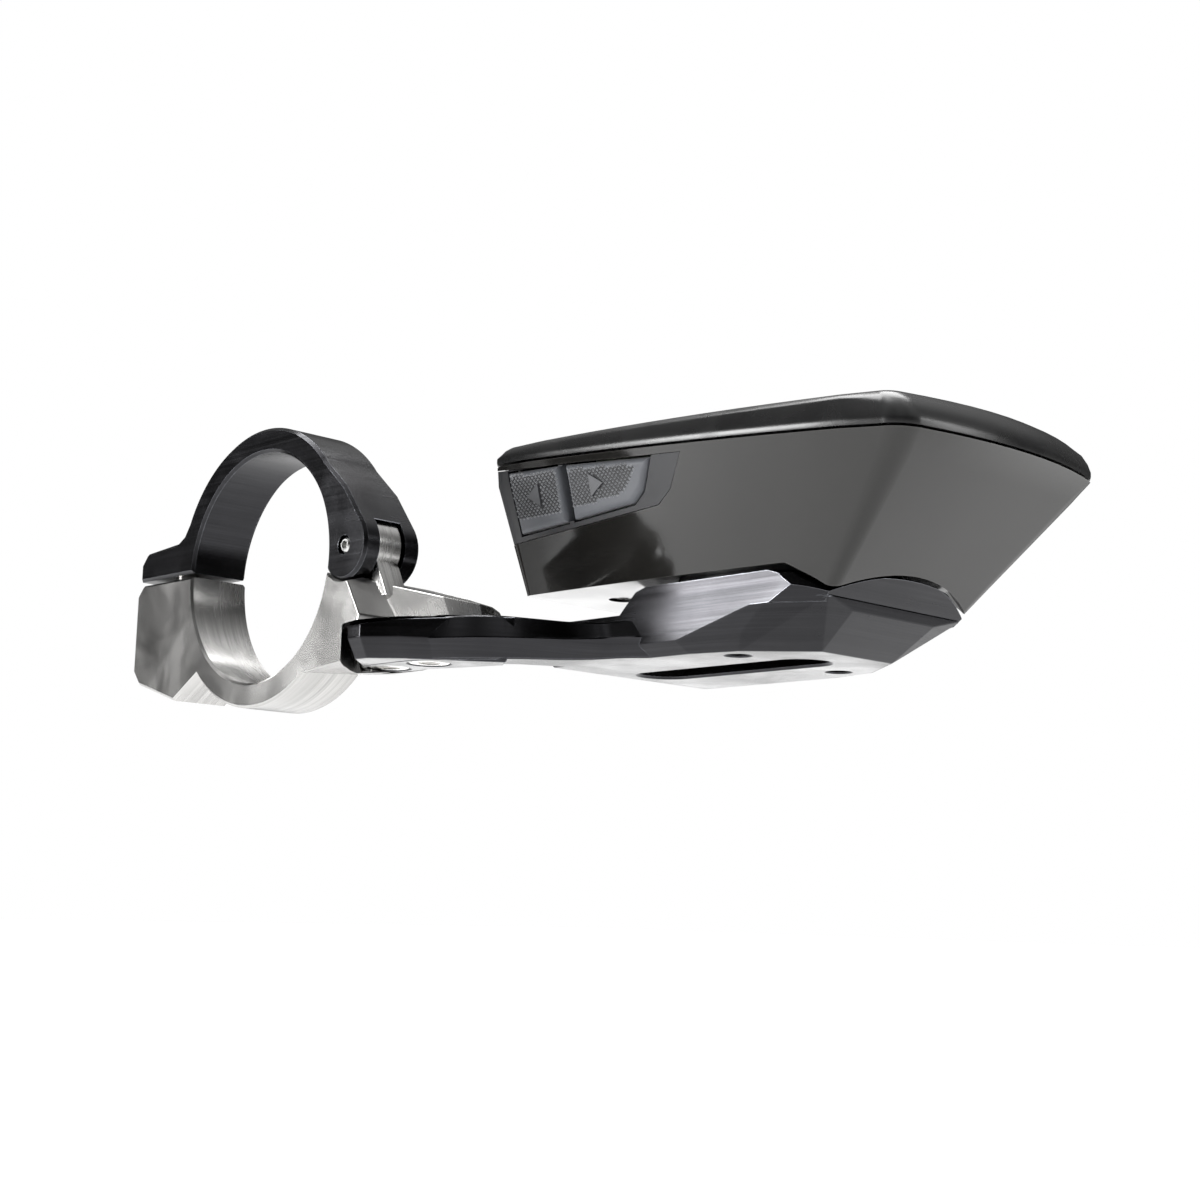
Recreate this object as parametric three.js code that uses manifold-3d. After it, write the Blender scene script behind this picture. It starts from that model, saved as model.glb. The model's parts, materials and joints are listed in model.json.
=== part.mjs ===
// A cycling computer on its out-front handlebar mount.
//
// Frame: millimetres, +X forward, +Y to the rider's left, +Z up. The origin is the centre of the
// handlebar clamp's bore. The computer and the mount's head are drawn about the twist axis, in a
// group that stands at (HEAD_X, HEAD_Y).

import * as THREE from 'three';
import { ConvexGeometry } from 'three/addons/geometries/ConvexGeometry.js';
import { LoftGeometry } from 'three/addons/geometries/LoftGeometry.js';
import { mergeVertices } from 'three/addons/utils/BufferGeometryUtils.js';
import Module from 'manifold-3d';

const wasm = await Module();
wasm.setup();

// ---------------------------------------------------------------- driving dimensions

const GAP = 0.3;                       // clearance between pieces that touch

// Clamp
const BAR_R = 15.9;                    // a 31.8 mm handlebar
const CLAMP_HALF = 4.5;                // half the clamp's width along the bar
const RING_R = 19.3;                   // outside of the clamp ring
const PIN = { x: 19.4, z: 0.8, r: 1.0 };
const EAR_R = 4.6;                     // band ears about the hinge pin
const LUG = { y0: -1.9, y1: 1.7, r: 4.2 };
const SPLIT = { base: 0.3, band: 0.9 };  // heights of the two faces of the rear split
const BOLT = { x: -23.5, r: 2.0, headR: 3.2, headTop: -9.2, headBottom: -12.4, tip: 4.2 };

// Head, about the twist axis
const HEAD_X = 55.5;
const HEAD_Y = 42;
const HEAD_BOTTOM = -12.5;
const PLATE_TOP = -6.7;
const DISC_TOP = -3.4;
const HEAD_HALF = 16.9;                // the flats on the head's two sides
const SLOT = { x0: -22.3, x1: 1.8, r: 4.0 };
const INSERT_R = 14.6;
const INSERT_FLOOR = -8.5;
const INSERT_SCREW_Y = 10.3;

// Computer, about the twist axis
const BOTTOM = -2.6;                   // flat underside
const CHIN = -6.2;                     // lowest level of the nose
const SEAM = { z: 12.82, slope: -0.0695 };
const TOP = { z: 16.84, slope: -0.0407 };
const SIDE_LEAN = THREE.MathUtils.degToRad(15);
const SIDE_ORIGIN_Y = 18.65;           // half-width of the leaning side at z = 0
const REAR_LEAN = THREE.MathUtils.degToRad(13.7);
const REAR_ORIGIN_X = -33.44;
const LENS = { x0: -18.5, x1: 25.5, half: 17.0, thick: 1.0 };
const POSTS = [[-23.6, 7.5], [-23.6, -7.5]];
const KEY_X = -28.4;                   // the row of three keys on top
const KEY_Y = 13.2;

// Bayonet
const RECESS_R = 15.4;
const RECESS_TOP = 0.4;
const LUG_BOTTOM = -2.4;
const LUG_TOP = -1.3;
const LIP_BOTTOM = -0.9;
const LIP_TOP = -0.2;

// ---------------------------------------------------------------- solids

// A three.js geometry as a manifold solid.
function solid(geometry) {
  const bare = geometry.index ? geometry.toNonIndexed() : geometry.clone();
  bare.deleteAttribute('normal');
  bare.deleteAttribute('uv');
  const merged = mergeVertices(bare, 1e-4);
  return new wasm.Manifold(new wasm.Mesh({
    numProp: 3,
    vertProperties: new Float32Array(merged.attributes.position.array),
    triVerts: new Uint32Array(merged.index.array),
  }));
}

function box(x0, x1, y0, y1, z0, z1) {
  const geometry = new THREE.BoxGeometry(x1 - x0, y1 - y0, z1 - z0);
  geometry.translate((x0 + x1) / 2, (y0 + y1) / 2, (z0 + z1) / 2);
  return solid(geometry);
}

// A round bar or cone along Z, from z0 (radius r0) to z1 (radius r1).
function roundZ(x, y, z0, z1, r0, r1 = r0, sides = 32) {
  const geometry = new THREE.CylinderGeometry(r1, r0, z1 - z0, sides);
  geometry.rotateX(Math.PI / 2);
  geometry.translate(x, y, (z0 + z1) / 2);
  return solid(geometry);
}

// A round bar along Y.
function roundY(x, z, y0, y1, r, sides = 32) {
  const geometry = new THREE.CylinderGeometry(r, r, y1 - y0, sides);
  geometry.translate(x, (y0 + y1) / 2, z);
  return solid(geometry);
}

// An outline of [x, y] points raised along Z.
function prismZ(points, z0, z1) {
  const shape = new THREE.Shape(points.map(([x, y]) => new THREE.Vector2(x, y)));
  const geometry = new THREE.ExtrudeGeometry(shape, { depth: z1 - z0, bevelEnabled: false });
  geometry.translate(0, 0, z0);
  return solid(geometry);
}

// An outline of [x, z] points drawn out along Y.
function prismY(points, y0, y1) {
  const shape = new THREE.Shape(points.map(([x, z]) => new THREE.Vector2(x, z)));
  const geometry = new THREE.ExtrudeGeometry(shape, { depth: y1 - y0, bevelEnabled: false });
  geometry.rotateX(Math.PI / 2);
  geometry.translate(0, y1, 0);
  return solid(geometry);
}

// A profile of [r, z] points, closed on the axis, turned about Z.
function turned(profile, sides = 48) {
  const geometry = new THREE.LatheGeometry(profile.map(([r, z]) => new THREE.Vector2(r, z)), sides);
  geometry.rotateX(Math.PI / 2);
  return solid(geometry);
}

function hull(points) {
  return solid(new ConvexGeometry(points.map((p) => new THREE.Vector3(...p))));
}

function loft(sections) {
  return solid(new LoftGeometry(sections, { capStart: true, capEnd: true }));
}

function union(...bodies) {
  return bodies.reduce((whole, body) => whole.add(body));
}

// Both mirror images of a list of points, across the XZ plane.
function bothSides(points) {
  return points.flatMap(([x, y, z]) => [[x, y, z], [x, -y, z]]);
}

function roundedRectangle(x0, x1, y0, y1, r, steps = 4) {
  const centres = [[x0 + r, y0 + r, 180], [x1 - r, y0 + r, 270], [x1 - r, y1 - r, 0], [x0 + r, y1 - r, 90]];
  return centres.flatMap(([cx, cy, start]) => Array.from({ length: steps + 1 }, (_, i) => {
    const angle = THREE.MathUtils.degToRad(start + (90 * i) / steps);
    return [cx + r * Math.cos(angle), cy + r * Math.sin(angle)];
  }));
}

// A solid drawn in a leaning frame, given by its three axes and origin, set into place.
function placed(body, axes, origin) {
  const matrix = new THREE.Matrix4().makeBasis(...axes.map((a) => new THREE.Vector3(...a)));
  matrix.setPosition(...origin);
  return body.transform(matrix.toArray());
}

// ---------------------------------------------------------------- materials and nodes

const FINISHES = {
  gloss: { color: 0x35332f, roughness: 0.2, metalness: 0 },
  satin: { color: 0x2b2b2b, roughness: 0.35, metalness: 0 },
  rubber: { color: 0x4a4b4e, roughness: 0.7, metalness: 0 },
  glass: { color: 0x101316, roughness: 0.05, metalness: 0 },
  display: { color: 0x9aa096, roughness: 0.5, metalness: 0 },
  board: { color: 0x1d5a34, roughness: 0.5, metalness: 0 },
  cell: { color: 0xa8acb0, roughness: 0.4, metalness: 0.3 },
  ceramic: { color: 0xcfc4ae, roughness: 0.6, metalness: 0 },
  polymer: { color: 0x1b1b1d, roughness: 0.5, metalness: 0 },
  anodised: { color: 0x1c1e24, roughness: 0.25, metalness: 0.9 },
  machined: { color: 0xc9c8c4, roughness: 0.3, metalness: 0.95 },
  steel: { color: 0xb4b4b0, roughness: 0.25, metalness: 1 },
  diffuser: { color: 0xe4e6e8, roughness: 0.4, metalness: 0 },
};

const object = new THREE.Group();
const head = new THREE.Group();
head.position.set(HEAD_X, HEAD_Y, 0);
object.add(head);

function addNode(group, name, finish, body) {
  const { vertProperties, triVerts } = body.getMesh();
  const geometry = new THREE.BufferGeometry();
  geometry.setAttribute('position', new THREE.BufferAttribute(new Float32Array(vertProperties), 3));
  geometry.setIndex(new THREE.BufferAttribute(new Uint32Array(triVerts), 1));
  const mesh = new THREE.Mesh(geometry, new THREE.MeshStandardMaterial(FINISHES[finish]));
  mesh.name = name;
  group.add(mesh);
}

// ---------------------------------------------------------------- the computer's outline

// The computer's plan at one level: two bowed sides, round corners and a bowed nose, as a ring
// of points at heights heightAt(x), counterclockwise from above.
function planRing(size, heightAt) {
  const { rear, front, halfRear, halfMid, halfFront, rearR, frontR, bow = 0 } = size;
  const middle = (rear + front) / 2;
  const halfAt = (x) => {
    const t = (x - middle) / ((front - rear) / 2);
    return halfMid + ((halfFront - halfRear) / 2) * t + ((halfFront + halfRear) / 2 - halfMid) * t * t;
  };
  const arc = (cx, cy, r, start) => Array.from({ length: 6 }, (_, i) => {
    const angle = THREE.MathUtils.degToRad(start + 18 * i);
    return [cx + r * Math.cos(angle), cy + r * Math.sin(angle)];
  });
  const sideXs = [0.25, 0.5, 0.75].map((t) => rear + rearR + t * (front - frontR - rear - rearR));
  const noseYs = [-0.6, -0.3, 0, 0.3, 0.6].map((t) => t * halfFront);
  const points = [
    ...arc(rear + rearR, -(halfAt(rear) - rearR), rearR, 180),
    ...sideXs.map((x) => [x, -halfAt(x)]),
    ...arc(front - frontR, -(halfFront - frontR), frontR, 270),
    ...noseYs.map((y) => [front + bow * (1 - (y / halfFront) ** 2), y]),
    ...arc(front - frontR, halfFront - frontR, frontR, 0),
    ...sideXs.toReversed().map((x) => [x, halfAt(x)]),
    ...arc(rear + rearR, halfAt(rear) - rearR, rearR, 90),
    [rear - 0.15, 0],
  ];
  return points.map(([x, y]) => new THREE.Vector3(x, y, heightAt(x)));
}

const seamZ = (x) => SEAM.z + SEAM.slope * x;
const topZ = (x) => TOP.z + TOP.slope * x;

const SEAM_PLAN = {
  rear: -37.1, front: 34.4, halfRear: 22.4, halfMid: 23.4, halfFront: 20.8, rearR: 5, frontR: 4, bow: 2.6,
};
const inset = (plan, d) => ({
  ...plan,
  rear: plan.rear + d,
  front: plan.front - d,
  halfRear: plan.halfRear - d,
  halfMid: plan.halfMid - d,
  halfFront: plan.halfFront - d,
  rearR: Math.max(plan.rearR - d, 0.8),
  frontR: Math.max(plan.frontR - d, 0.8),
});

// The nose pocket: a cone about the twist axis, whose radius grows downwards.
const pocketR = (z) => 20.6 + 0.657 * (BOTTOM - z);

// Frames of the leaning right side, left side and rear face: along, up, and outwards.
const RIGHT = {
  axes: [
    [1, 0, 0],
    [0, -Math.sin(SIDE_LEAN), Math.cos(SIDE_LEAN)],
    [0, -Math.cos(SIDE_LEAN), -Math.sin(SIDE_LEAN)],
  ],
  origin: [0, -SIDE_ORIGIN_Y, 0],
};
const LEFT = {
  axes: [
    [-1, 0, 0],
    [0, Math.sin(SIDE_LEAN), Math.cos(SIDE_LEAN)],
    [0, Math.cos(SIDE_LEAN), -Math.sin(SIDE_LEAN)],
  ],
  origin: [0, SIDE_ORIGIN_Y, 0],
};
const REAR = {
  axes: [
    [0, -1, 0],
    [-Math.sin(REAR_LEAN), 0, Math.cos(REAR_LEAN)],
    [-Math.cos(REAR_LEAN), 0, -Math.sin(REAR_LEAN)],
  ],
  origin: [REAR_ORIGIN_X, 0, 0],
};

// Outlines on the right side, as [along, up].
const KEY_PANEL = [[-39, 4.2], [-4.6, 6.5], [-2.1, 8.2], [0.9, 12.5], [-39, 15.2]];
const REAR_KEY = [[-31.3, 5.7], [-21.3, 6.3], [-21.5, 13.9], [-32.4, 14.3]];
const FRONT_KEY = [[-19.9, 6.4], [-8.6, 7.2], [-6.6, 8.6], [-4.4, 12.6], [-20.1, 13.8]];

// An outline moved outwards by d, about its own middle, near enough for a clearance.
function grown(points, d) {
  const cx = points.reduce((sum, p) => sum + p[0], 0) / points.length;
  const cy = points.reduce((sum, p) => sum + p[1], 0) / points.length;
  const halfX = Math.max(...points.map((p) => Math.abs(p[0] - cx)));
  const halfY = Math.max(...points.map((p) => Math.abs(p[1] - cy)));
  const [growX, growY] = [1 + (1.25 * d) / halfX, 1 + (1.25 * d) / halfY];
  return points.map(([x, y]) => [cx + (x - cx) * growX, cy + (y - cy) * growY]);
}

const onRight = (points, n0, n1) => placed(prismZ(points, n0, n1), RIGHT.axes, RIGHT.origin);
const onLeft = (points, n0, n1) => placed(prismZ(points, n0, n1), LEFT.axes, LEFT.origin);
const onRear = (points, n0, n1) => placed(prismZ(points, n0, n1), REAR.axes, REAR.origin);

const POWER_KEY = roundedRectangle(19, 28, 8.4, 11.6, 1.5);
const FLAP = roundedRectangle(-6.2, 6.2, 1.6, 7.6, 0.8);
const USB_HOLE = roundedRectangle(-4.4, 4.4, 3.0, 7.0, 0.6);

// ---------------------------------------------------------------- computer: shells

// The plans that the casing's outer form runs through, each with its level.
const CASING_PLANS = [
  [{ rear: -31.9, front: 18.0, halfRear: 17.1, halfMid: 15.9, halfFront: 14.1, rearR: 1.2, frontR: 1.6 },
    () => CHIN],
  [{ rear: -32.8, front: 21.5, halfRear: 18.0, halfMid: 17.5, halfFront: 15.5, rearR: 1.6, frontR: 2.0 },
    () => BOTTOM],
  [{ rear: -36.6, front: 31.9, halfRear: 21.8, halfMid: 22.4, halfFront: 19.8,
    rearR: 3.6, frontR: 3.2, bow: 0.3 },
    (x) => seamZ(x) - 2.6],
  [SEAM_PLAN, seamZ],
];

// The casing's outer form, grown outwards all round by d, and at both ends by more.
function casingBlock(d = 0, more = 0) {
  return loft(CASING_PLANS.map(([plan, heightAt], i) => {
    const lift = { 0: -more, 3: more }[i] ?? 0;
    return planRing(inset(plan, -d), (x) => heightAt(x) + lift);
  }));
}

// A layer of the right side between two depths under the casing's surface. It follows the
// casing round the rear corner.
function sideLayer(outline, low, high, reach = 3.2) {
  return onRight(outline, -reach, 4).intersect(casingBlock(high)).subtract(casingBlock(low, 1));
}

function lowerCasing() {
  const outside = casingBlock();
  const inside = loft([
    planRing({
      rear: -31.9, front: 22.6, halfRear: 17.3, halfMid: 17.3, halfFront: 15.2, rearR: 1.5, frontR: 1.5,
    }, () => 2.2),
    planRing({ ...inset(SEAM_PLAN, 1.9), front: 30.8, bow: 2.0 }, (x) => seamZ(x) + 1),
  ]);
  const pocket = turned([[0, -8], [pocketR(-8), -8], [pocketR(BOTTOM), BOTTOM], [0, BOTTOM]], 64);
  let body = outside.subtract(inside).subtract(pocket);
  body = body.subtract(box(-40, 11, -25, 25, -8, BOTTOM));
  body = body.subtract(roundZ(0, 0, -4, RECESS_TOP, RECESS_R, RECESS_R, 48));
  for (const [x, y] of POSTS) {
    body = body.subtract(roundZ(x, y, -4, 3, 1.2, 1.2, 16));
    body = body.subtract(roundZ(x, y, -4, -0.6, 2.1, 2.1, 20));
  }
  body = body.subtract(sideLayer(grown(KEY_PANEL, GAP), -1.5, 3, 3.2 + GAP));
  body = body.subtract(onRight(grown(REAR_KEY, GAP), -6, 3)).subtract(onRight(grown(FRONT_KEY, GAP), -6, 3));
  body = body.subtract(onLeft(grown(POWER_KEY, GAP), -6, 3));
  body = body.subtract(onRear(grown(FLAP, GAP), -1.7, 3)).subtract(onRear(USB_HOLE, -6, 3));
  return body;
}

// The top profile in the XZ plane: a long flat top and a sloping nose.
function coverProfile(drop) {
  return [
    [-40, 5],
    [-40, topZ(-40) - drop],
    [30.2, topZ(30.2) - drop],
    [36.6 - drop, 12.9 - drop],
    [37.5 - drop, 12.2 - drop],
    [37.5 - drop, 5],
  ];
}

function topCover() {
  const lift = (d) => (x) => seamZ(x) + d;
  const outside = loft([
    planRing(SEAM_PLAN, lift(0.35)),
    planRing(inset(SEAM_PLAN, -0.1), lift(1.5)),
    planRing({ ...inset(SEAM_PLAN, 0.35), rear: -36.3 }, (x) => topZ(x) - 1.1),
    planRing({ ...inset(SEAM_PLAN, 0.9), rear: -35.2 }, (x) => topZ(x) - 0.4),
    planRing({ ...inset(SEAM_PLAN, 2.0), rear: -33.4 }, (x) => topZ(x) + 0.02),
  ]).intersect(prismY(coverProfile(0), -30, 30));
  const inside = loft([
    planRing({ ...inset(SEAM_PLAN, 1.8), bow: 2 }, lift(-3)),
    planRing({ ...inset(SEAM_PLAN, 2.4), bow: 2 }, (x) => topZ(x) - 1.2),
  ]).intersect(prismY(coverProfile(1.3), -30, 30));
  let body = outside.subtract(inside);
  const windowX = [LENS.x0 - GAP, LENS.x1 + GAP];
  const windowHole = roundedRectangle(...windowX, -LENS.half - GAP, LENS.half + GAP, 2.3);
  body = body.subtract(prismZ(windowHole, 0, 25));
  body = body.subtract(prismZ(roundedRectangle(27.6, 29.8, -11, 11, 1.05), 0, 25));
  for (const y of [-KEY_Y, 0, KEY_Y]) {
    body = body.subtract(prismZ(roundedRectangle(KEY_X - 2.5, KEY_X + 2.5, y - 5.5, y + 5.5, 1.6), 0, 25));
  }
  for (const [x, y] of POSTS) {
    body = body.add(roundZ(x, y, 2.9, topZ(x) - 0.8, 2.0, 2.0, 20));
    body = body.subtract(roundZ(x, y, 0, 9.5, 1.2, 1.2, 16));
  }
  return body;
}

// A thin sheet of the top surface between two depths, over an outline.
function underTop(outline, depth0, depth1) {
  const at = (x, depth) => [x, topZ(x) - depth];
  const slab = prismY([at(-45, depth1), at(45, depth1), at(45, depth0), at(-45, depth0)], -30, 30);
  return prismZ(outline, 0, 25).intersect(slab);
}

function coverSeal() {
  const ring = (d, low, high) => {
    const plan = { ...inset(SEAM_PLAN, d), front: SEAM_PLAN.front - d - 2.7, bow: 1.9 };
    return loft([planRing(plan, (x) => seamZ(x) + low), planRing(plan, (x) => seamZ(x) + high)]);
  };
  return ring(2.9, 0.1, 1.0).subtract(ring(3.5, -2, 3));
}

// ---------------------------------------------------------------- computer: inside

function circuitBoard() {
  let body = prismZ(roundedRectangle(-31.5, 24, -16.3, 16.3, 2), 8.0, 9.0);
  for (const [x, y] of POSTS) {
    body = body.subtract(roundZ(x, y, 7, 10, 2.5, 2.5, 16));
  }
  return body;
}

function keySwitch(y) {
  const can = prismZ(roundedRectangle(KEY_X - 2, KEY_X + 2, y - 2, y + 2, 0.5), 9.3, 11.8);
  return can.add(roundZ(KEY_X, y, 11.7, 12.6, 1.1, 1.1, 16));
}

function casingScrew([x, y]) {
  const head = roundZ(x, y, -2.3, -0.9, 1.75, 1.75, 20).subtract(roundZ(x, y, -3, -1.5, 0.75, 0.75, 6));
  return head.add(roundZ(x, y, -1.0, 8.0, 0.9, 0.9, 16));
}

// ---------------------------------------------------------------- computer: keys and flap

function topKey(y) {
  const cap = underTop(roundedRectangle(KEY_X - 2.2, KEY_X + 2.2, y - 5.2, y + 5.2, 1.4), -0.35, 1.6);
  return cap.add(roundZ(KEY_X, y, 13.8, 16.8, 1.2, 1.2, 16));
}

function sideKey(outline) {
  return sideLayer(outline, -2.5, 0.45, 6);
}

function sideKeyPanel() {
  const room = (outline) => onRight(grown(outline, GAP), -6, 5);
  return sideLayer(KEY_PANEL, -1.2, -0.05).subtract(room(REAR_KEY)).subtract(room(FRONT_KEY));
}

function usbFlap() {
  const plug = onRear(roundedRectangle(-3.1, 3.1, 3.7, 6.0, 0.5), -2.0, -0.8);
  return onRear(FLAP, -1.0, 0.05).add(plug);
}

// ---------------------------------------------------------------- bayonet

const sector = (r, from, to, z0, z1) => {
  const steps = 8;
  const rim = Array.from({ length: steps + 1 }, (_, i) => {
    const angle = THREE.MathUtils.degToRad(from + ((to - from) * i) / steps);
    return [r * Math.cos(angle), r * Math.sin(angle)];
  });
  return prismZ([[0, 0], ...rim], z0, z1);
};

function bayonetPlate() {
  const boss = roundZ(0, 0, LUG_BOTTOM, RECESS_TOP - GAP, 9.2, 9.2, 40);
  const lugs = sector(12.3, 60, 120, LUG_BOTTOM, LUG_TOP).add(sector(12.3, 240, 300, LUG_BOTTOM, LUG_TOP));
  let body = boss.add(lugs);
  for (const x of [-5, 5]) {
    body = body.subtract(roundZ(x, 0, -4, 2, 1.1, 1.1, 16)).subtract(roundZ(x, 0, -4, -1.2, 2.0, 2.0, 20));
  }
  return body;
}

function bayonetInsert() {
  let body = roundZ(0, 0, INSERT_FLOOR + GAP, LIP_TOP, INSERT_R, INSERT_R, 48);
  body = body.subtract(roundZ(0, 0, LUG_BOTTOM - GAP - 0.1, 1, 9.6, 9.6, 40));
  body = body.subtract(roundZ(0, 0, LUG_BOTTOM - GAP - 0.1, LIP_BOTTOM, 12.8, 12.8, 48));
  body = body.subtract(sector(12.8, -34, 34, -1.2, 1)).subtract(sector(12.8, 146, 214, -1.2, 1));
  body = body.subtract(roundZ(0, 0, -9, -4.2, 6.5, 6.5, 32));
  for (const y of [-INSERT_SCREW_Y, INSERT_SCREW_Y]) {
    body = body.subtract(roundZ(0, y, -9, -4.6, 1.15, 1.15, 16));
  }
  return body;
}

function insertScrew(y) {
  const head = roundZ(0, y, -11.6, -10.4, 1.45, 1.45, 20).subtract(roundZ(0, y, -12, -11.0, 0.6, 0.6, 6));
  return head.add(roundZ(0, y, -10.5, -5.0, 0.85, 0.85, 16));
}

// ---------------------------------------------------------------- mount: head and arm

// The lower half of the head, a faceted shield, then the round disc that the nose pocket fits.
function headBody() {
  const shield = hull(bothSides([
    [-29, 15.4, HEAD_BOTTOM], [-4, 15.2, HEAD_BOTTOM], [3, 13.6, HEAD_BOTTOM], [11.2, 7.2, HEAD_BOTTOM],
    [-29.3, 16.5, -11], [-5, 16.6, -10.5], [12, 10.9, -10], [13.5, 6, -10],
    [5.7, HEAD_HALF, -8], [14.6, 13.4, -8], [16.6, 9, -8],
    [17.4, 13.8, PLATE_TOP], [10.6, HEAD_HALF, PLATE_TOP], [-29.3, HEAD_HALF, PLATE_TOP],
  ]));
  const edge = (z) => pocketR(z) - 0.7;
  const shoulder = DISC_TOP - 0.5;
  const disc = turned([
    [0, -7.5], [edge(-7.5), -7.5], [edge(shoulder), shoulder], [edge(DISC_TOP) - 0.6, DISC_TOP], [0, DISC_TOP],
  ], 64);
  const limits = hull(bothSides([
    [-30, HEAD_HALF, -7.4], [10.6, HEAD_HALF, -7.4], [16.55, 13.4, -7.4],
    [-30, HEAD_HALF, 0], [16, HEAD_HALF, 0], [23.7, 16.3, 0],
  ]));
  return shield.add(disc.intersect(limits));
}

// The arm's stations: [x, y, heading in degrees, half-width, bottom, top], in the whole object's frame.
const ARM = [
  [28.4, 6.4, 35, 4.6, -14.1, -8.6],
  [31.6, 10.2, 60, 4.4, -13.8, -8.0],
  [33.2, 15.2, 80, 4.5, -13.4, -8.0],
  [33.9, 20.6, 82, 5.2, -13.0, -8.0],
  [35.4, 26.4, 70, 6.6, -12.6, -7.8],
  [39.0, 31.5, 55, 8.6, -12.5, -7.2],
];

function armBody(grow = 0) {
  const sections = ARM.map(([x, y, heading, half, bottom, top]) => {
    const angle = THREE.MathUtils.degToRad(heading);
    const across = [-Math.sin(angle), Math.cos(angle)];
    const w = half + grow;
    const outline = [[w - 1.3, top + grow], [w, bottom + 2.6], [w - 0.8, bottom - grow]];
    const ring = [...outline, ...outline.toReversed().map(([d, z]) => [-d, z])];
    return ring.map(([d, z]) => new THREE.Vector3(x + across[0] * d, y + across[1] * d, z)).toReversed();
  });
  return loft(sections);
}

const ROOT_SCREWS = [[17.6, 5.2], [25.8, 5.2]];

function armRoot(grow = 0) {
  const outline = roundedRectangle(13.4 - grow, 31, 0.4 - grow, 10 + grow, 3.5 + grow, 6);
  return prismZ(outline, -14.2 - grow, -10.3 + grow);
}

// The arm's near flank fills the corner of the base and runs on to the waist: [x, y, top].
const FLANK = [
  [20.6, -4.2, -9.9], [23.2, -4.2, -9.8], [27.4, -1.3, -9.2], [31.3, 4.0, -8.7],
  [36.0, 10.8, -8.3], [33.0, 13.0, -8.3], [20.0, 9.8, -10.3], [14.0, 3.0, -10.3],
];
const FLANK_BOTTOM = -14.15;
const FLANK_RIDGE = -11.5;
const FLANK_MIDDLE = [26, 4];

function armFlank() {
  return hull(FLANK.flatMap(([x, y, top]) => {
    const length = Math.hypot(x - FLANK_MIDDLE[0], y - FLANK_MIDDLE[1]);
    const low = 1 - 1.1 / length;
    const lowX = FLANK_MIDDLE[0] + (x - FLANK_MIDDLE[0]) * low;
    const lowY = FLANK_MIDDLE[1] + (y - FLANK_MIDDLE[1]) * low;
    return [[x, y, top], [x, y, FLANK_RIDGE], [lowX, lowY, FLANK_BOTTOM]];
  }));
}

// The room that the base leaves for the flank, open at the base's near corner.
const FLANK_ROOM = [
  [21.4, -6, -9.5], [23.8, -6, -9.4], [29.5, -2.6, -8.9], [33.5, 3, -8.3],
  [38, 10.6, -7.9], [33, 13.5, -8], [19.8, 10.2, -10], [13.6, 2.9, -10],
];

function flankRoom() {
  return hull(FLANK_ROOM.flatMap(([x, y, top]) => [[x, y, top], [x, y, -16]]));
}

function mountArm() {
  let body = headBody().translate([HEAD_X, HEAD_Y, 0]);
  body = body.subtract(roundZ(HEAD_X, HEAD_Y, INSERT_FLOOR, 0, INSERT_R + GAP, INSERT_R + GAP, 48));
  body = body.add(armBody()).add(armRoot()).add(armFlank());
  const slot = roundedRectangle(SLOT.x0 - SLOT.r, SLOT.x1 + SLOT.r, -SLOT.r, SLOT.r, SLOT.r - 0.01, 8);
  body = body.subtract(prismZ(slot, -15, 0).translate([HEAD_X, HEAD_Y, 0]));
  for (const y of [-INSERT_SCREW_Y, INSERT_SCREW_Y]) {
    body = body.subtract(roundZ(HEAD_X, HEAD_Y + y, -15, -10.2, 1.75, 1.75, 20));
    body = body.subtract(roundZ(HEAD_X, HEAD_Y + y, -11, -8, 1.15, 1.15, 16));
  }
  for (const [x, y] of ROOT_SCREWS) {
    body = body.subtract(roundZ(x, y, -16, -9, 1.8, 1.8, 20));
    body = body.subtract(roundZ(x, y, -14.3, -12.5, 3.1, 1.75, 24));
  }
  return body;
}

function armScrew([x, y]) {
  const head = roundZ(x, y, -14.1, -12.6, 2.7, 1.45, 24).subtract(roundZ(x, y, -15, -13.0, 1.15, 1.15, 6));
  return head.add(roundZ(x, y, -12.8, -6.4, 1.4, 1.4, 16));
}

// ---------------------------------------------------------------- mount: clamp

function bar(r, half = 20) {
  return roundY(0, 0, -half, half, r, 64);
}

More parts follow.
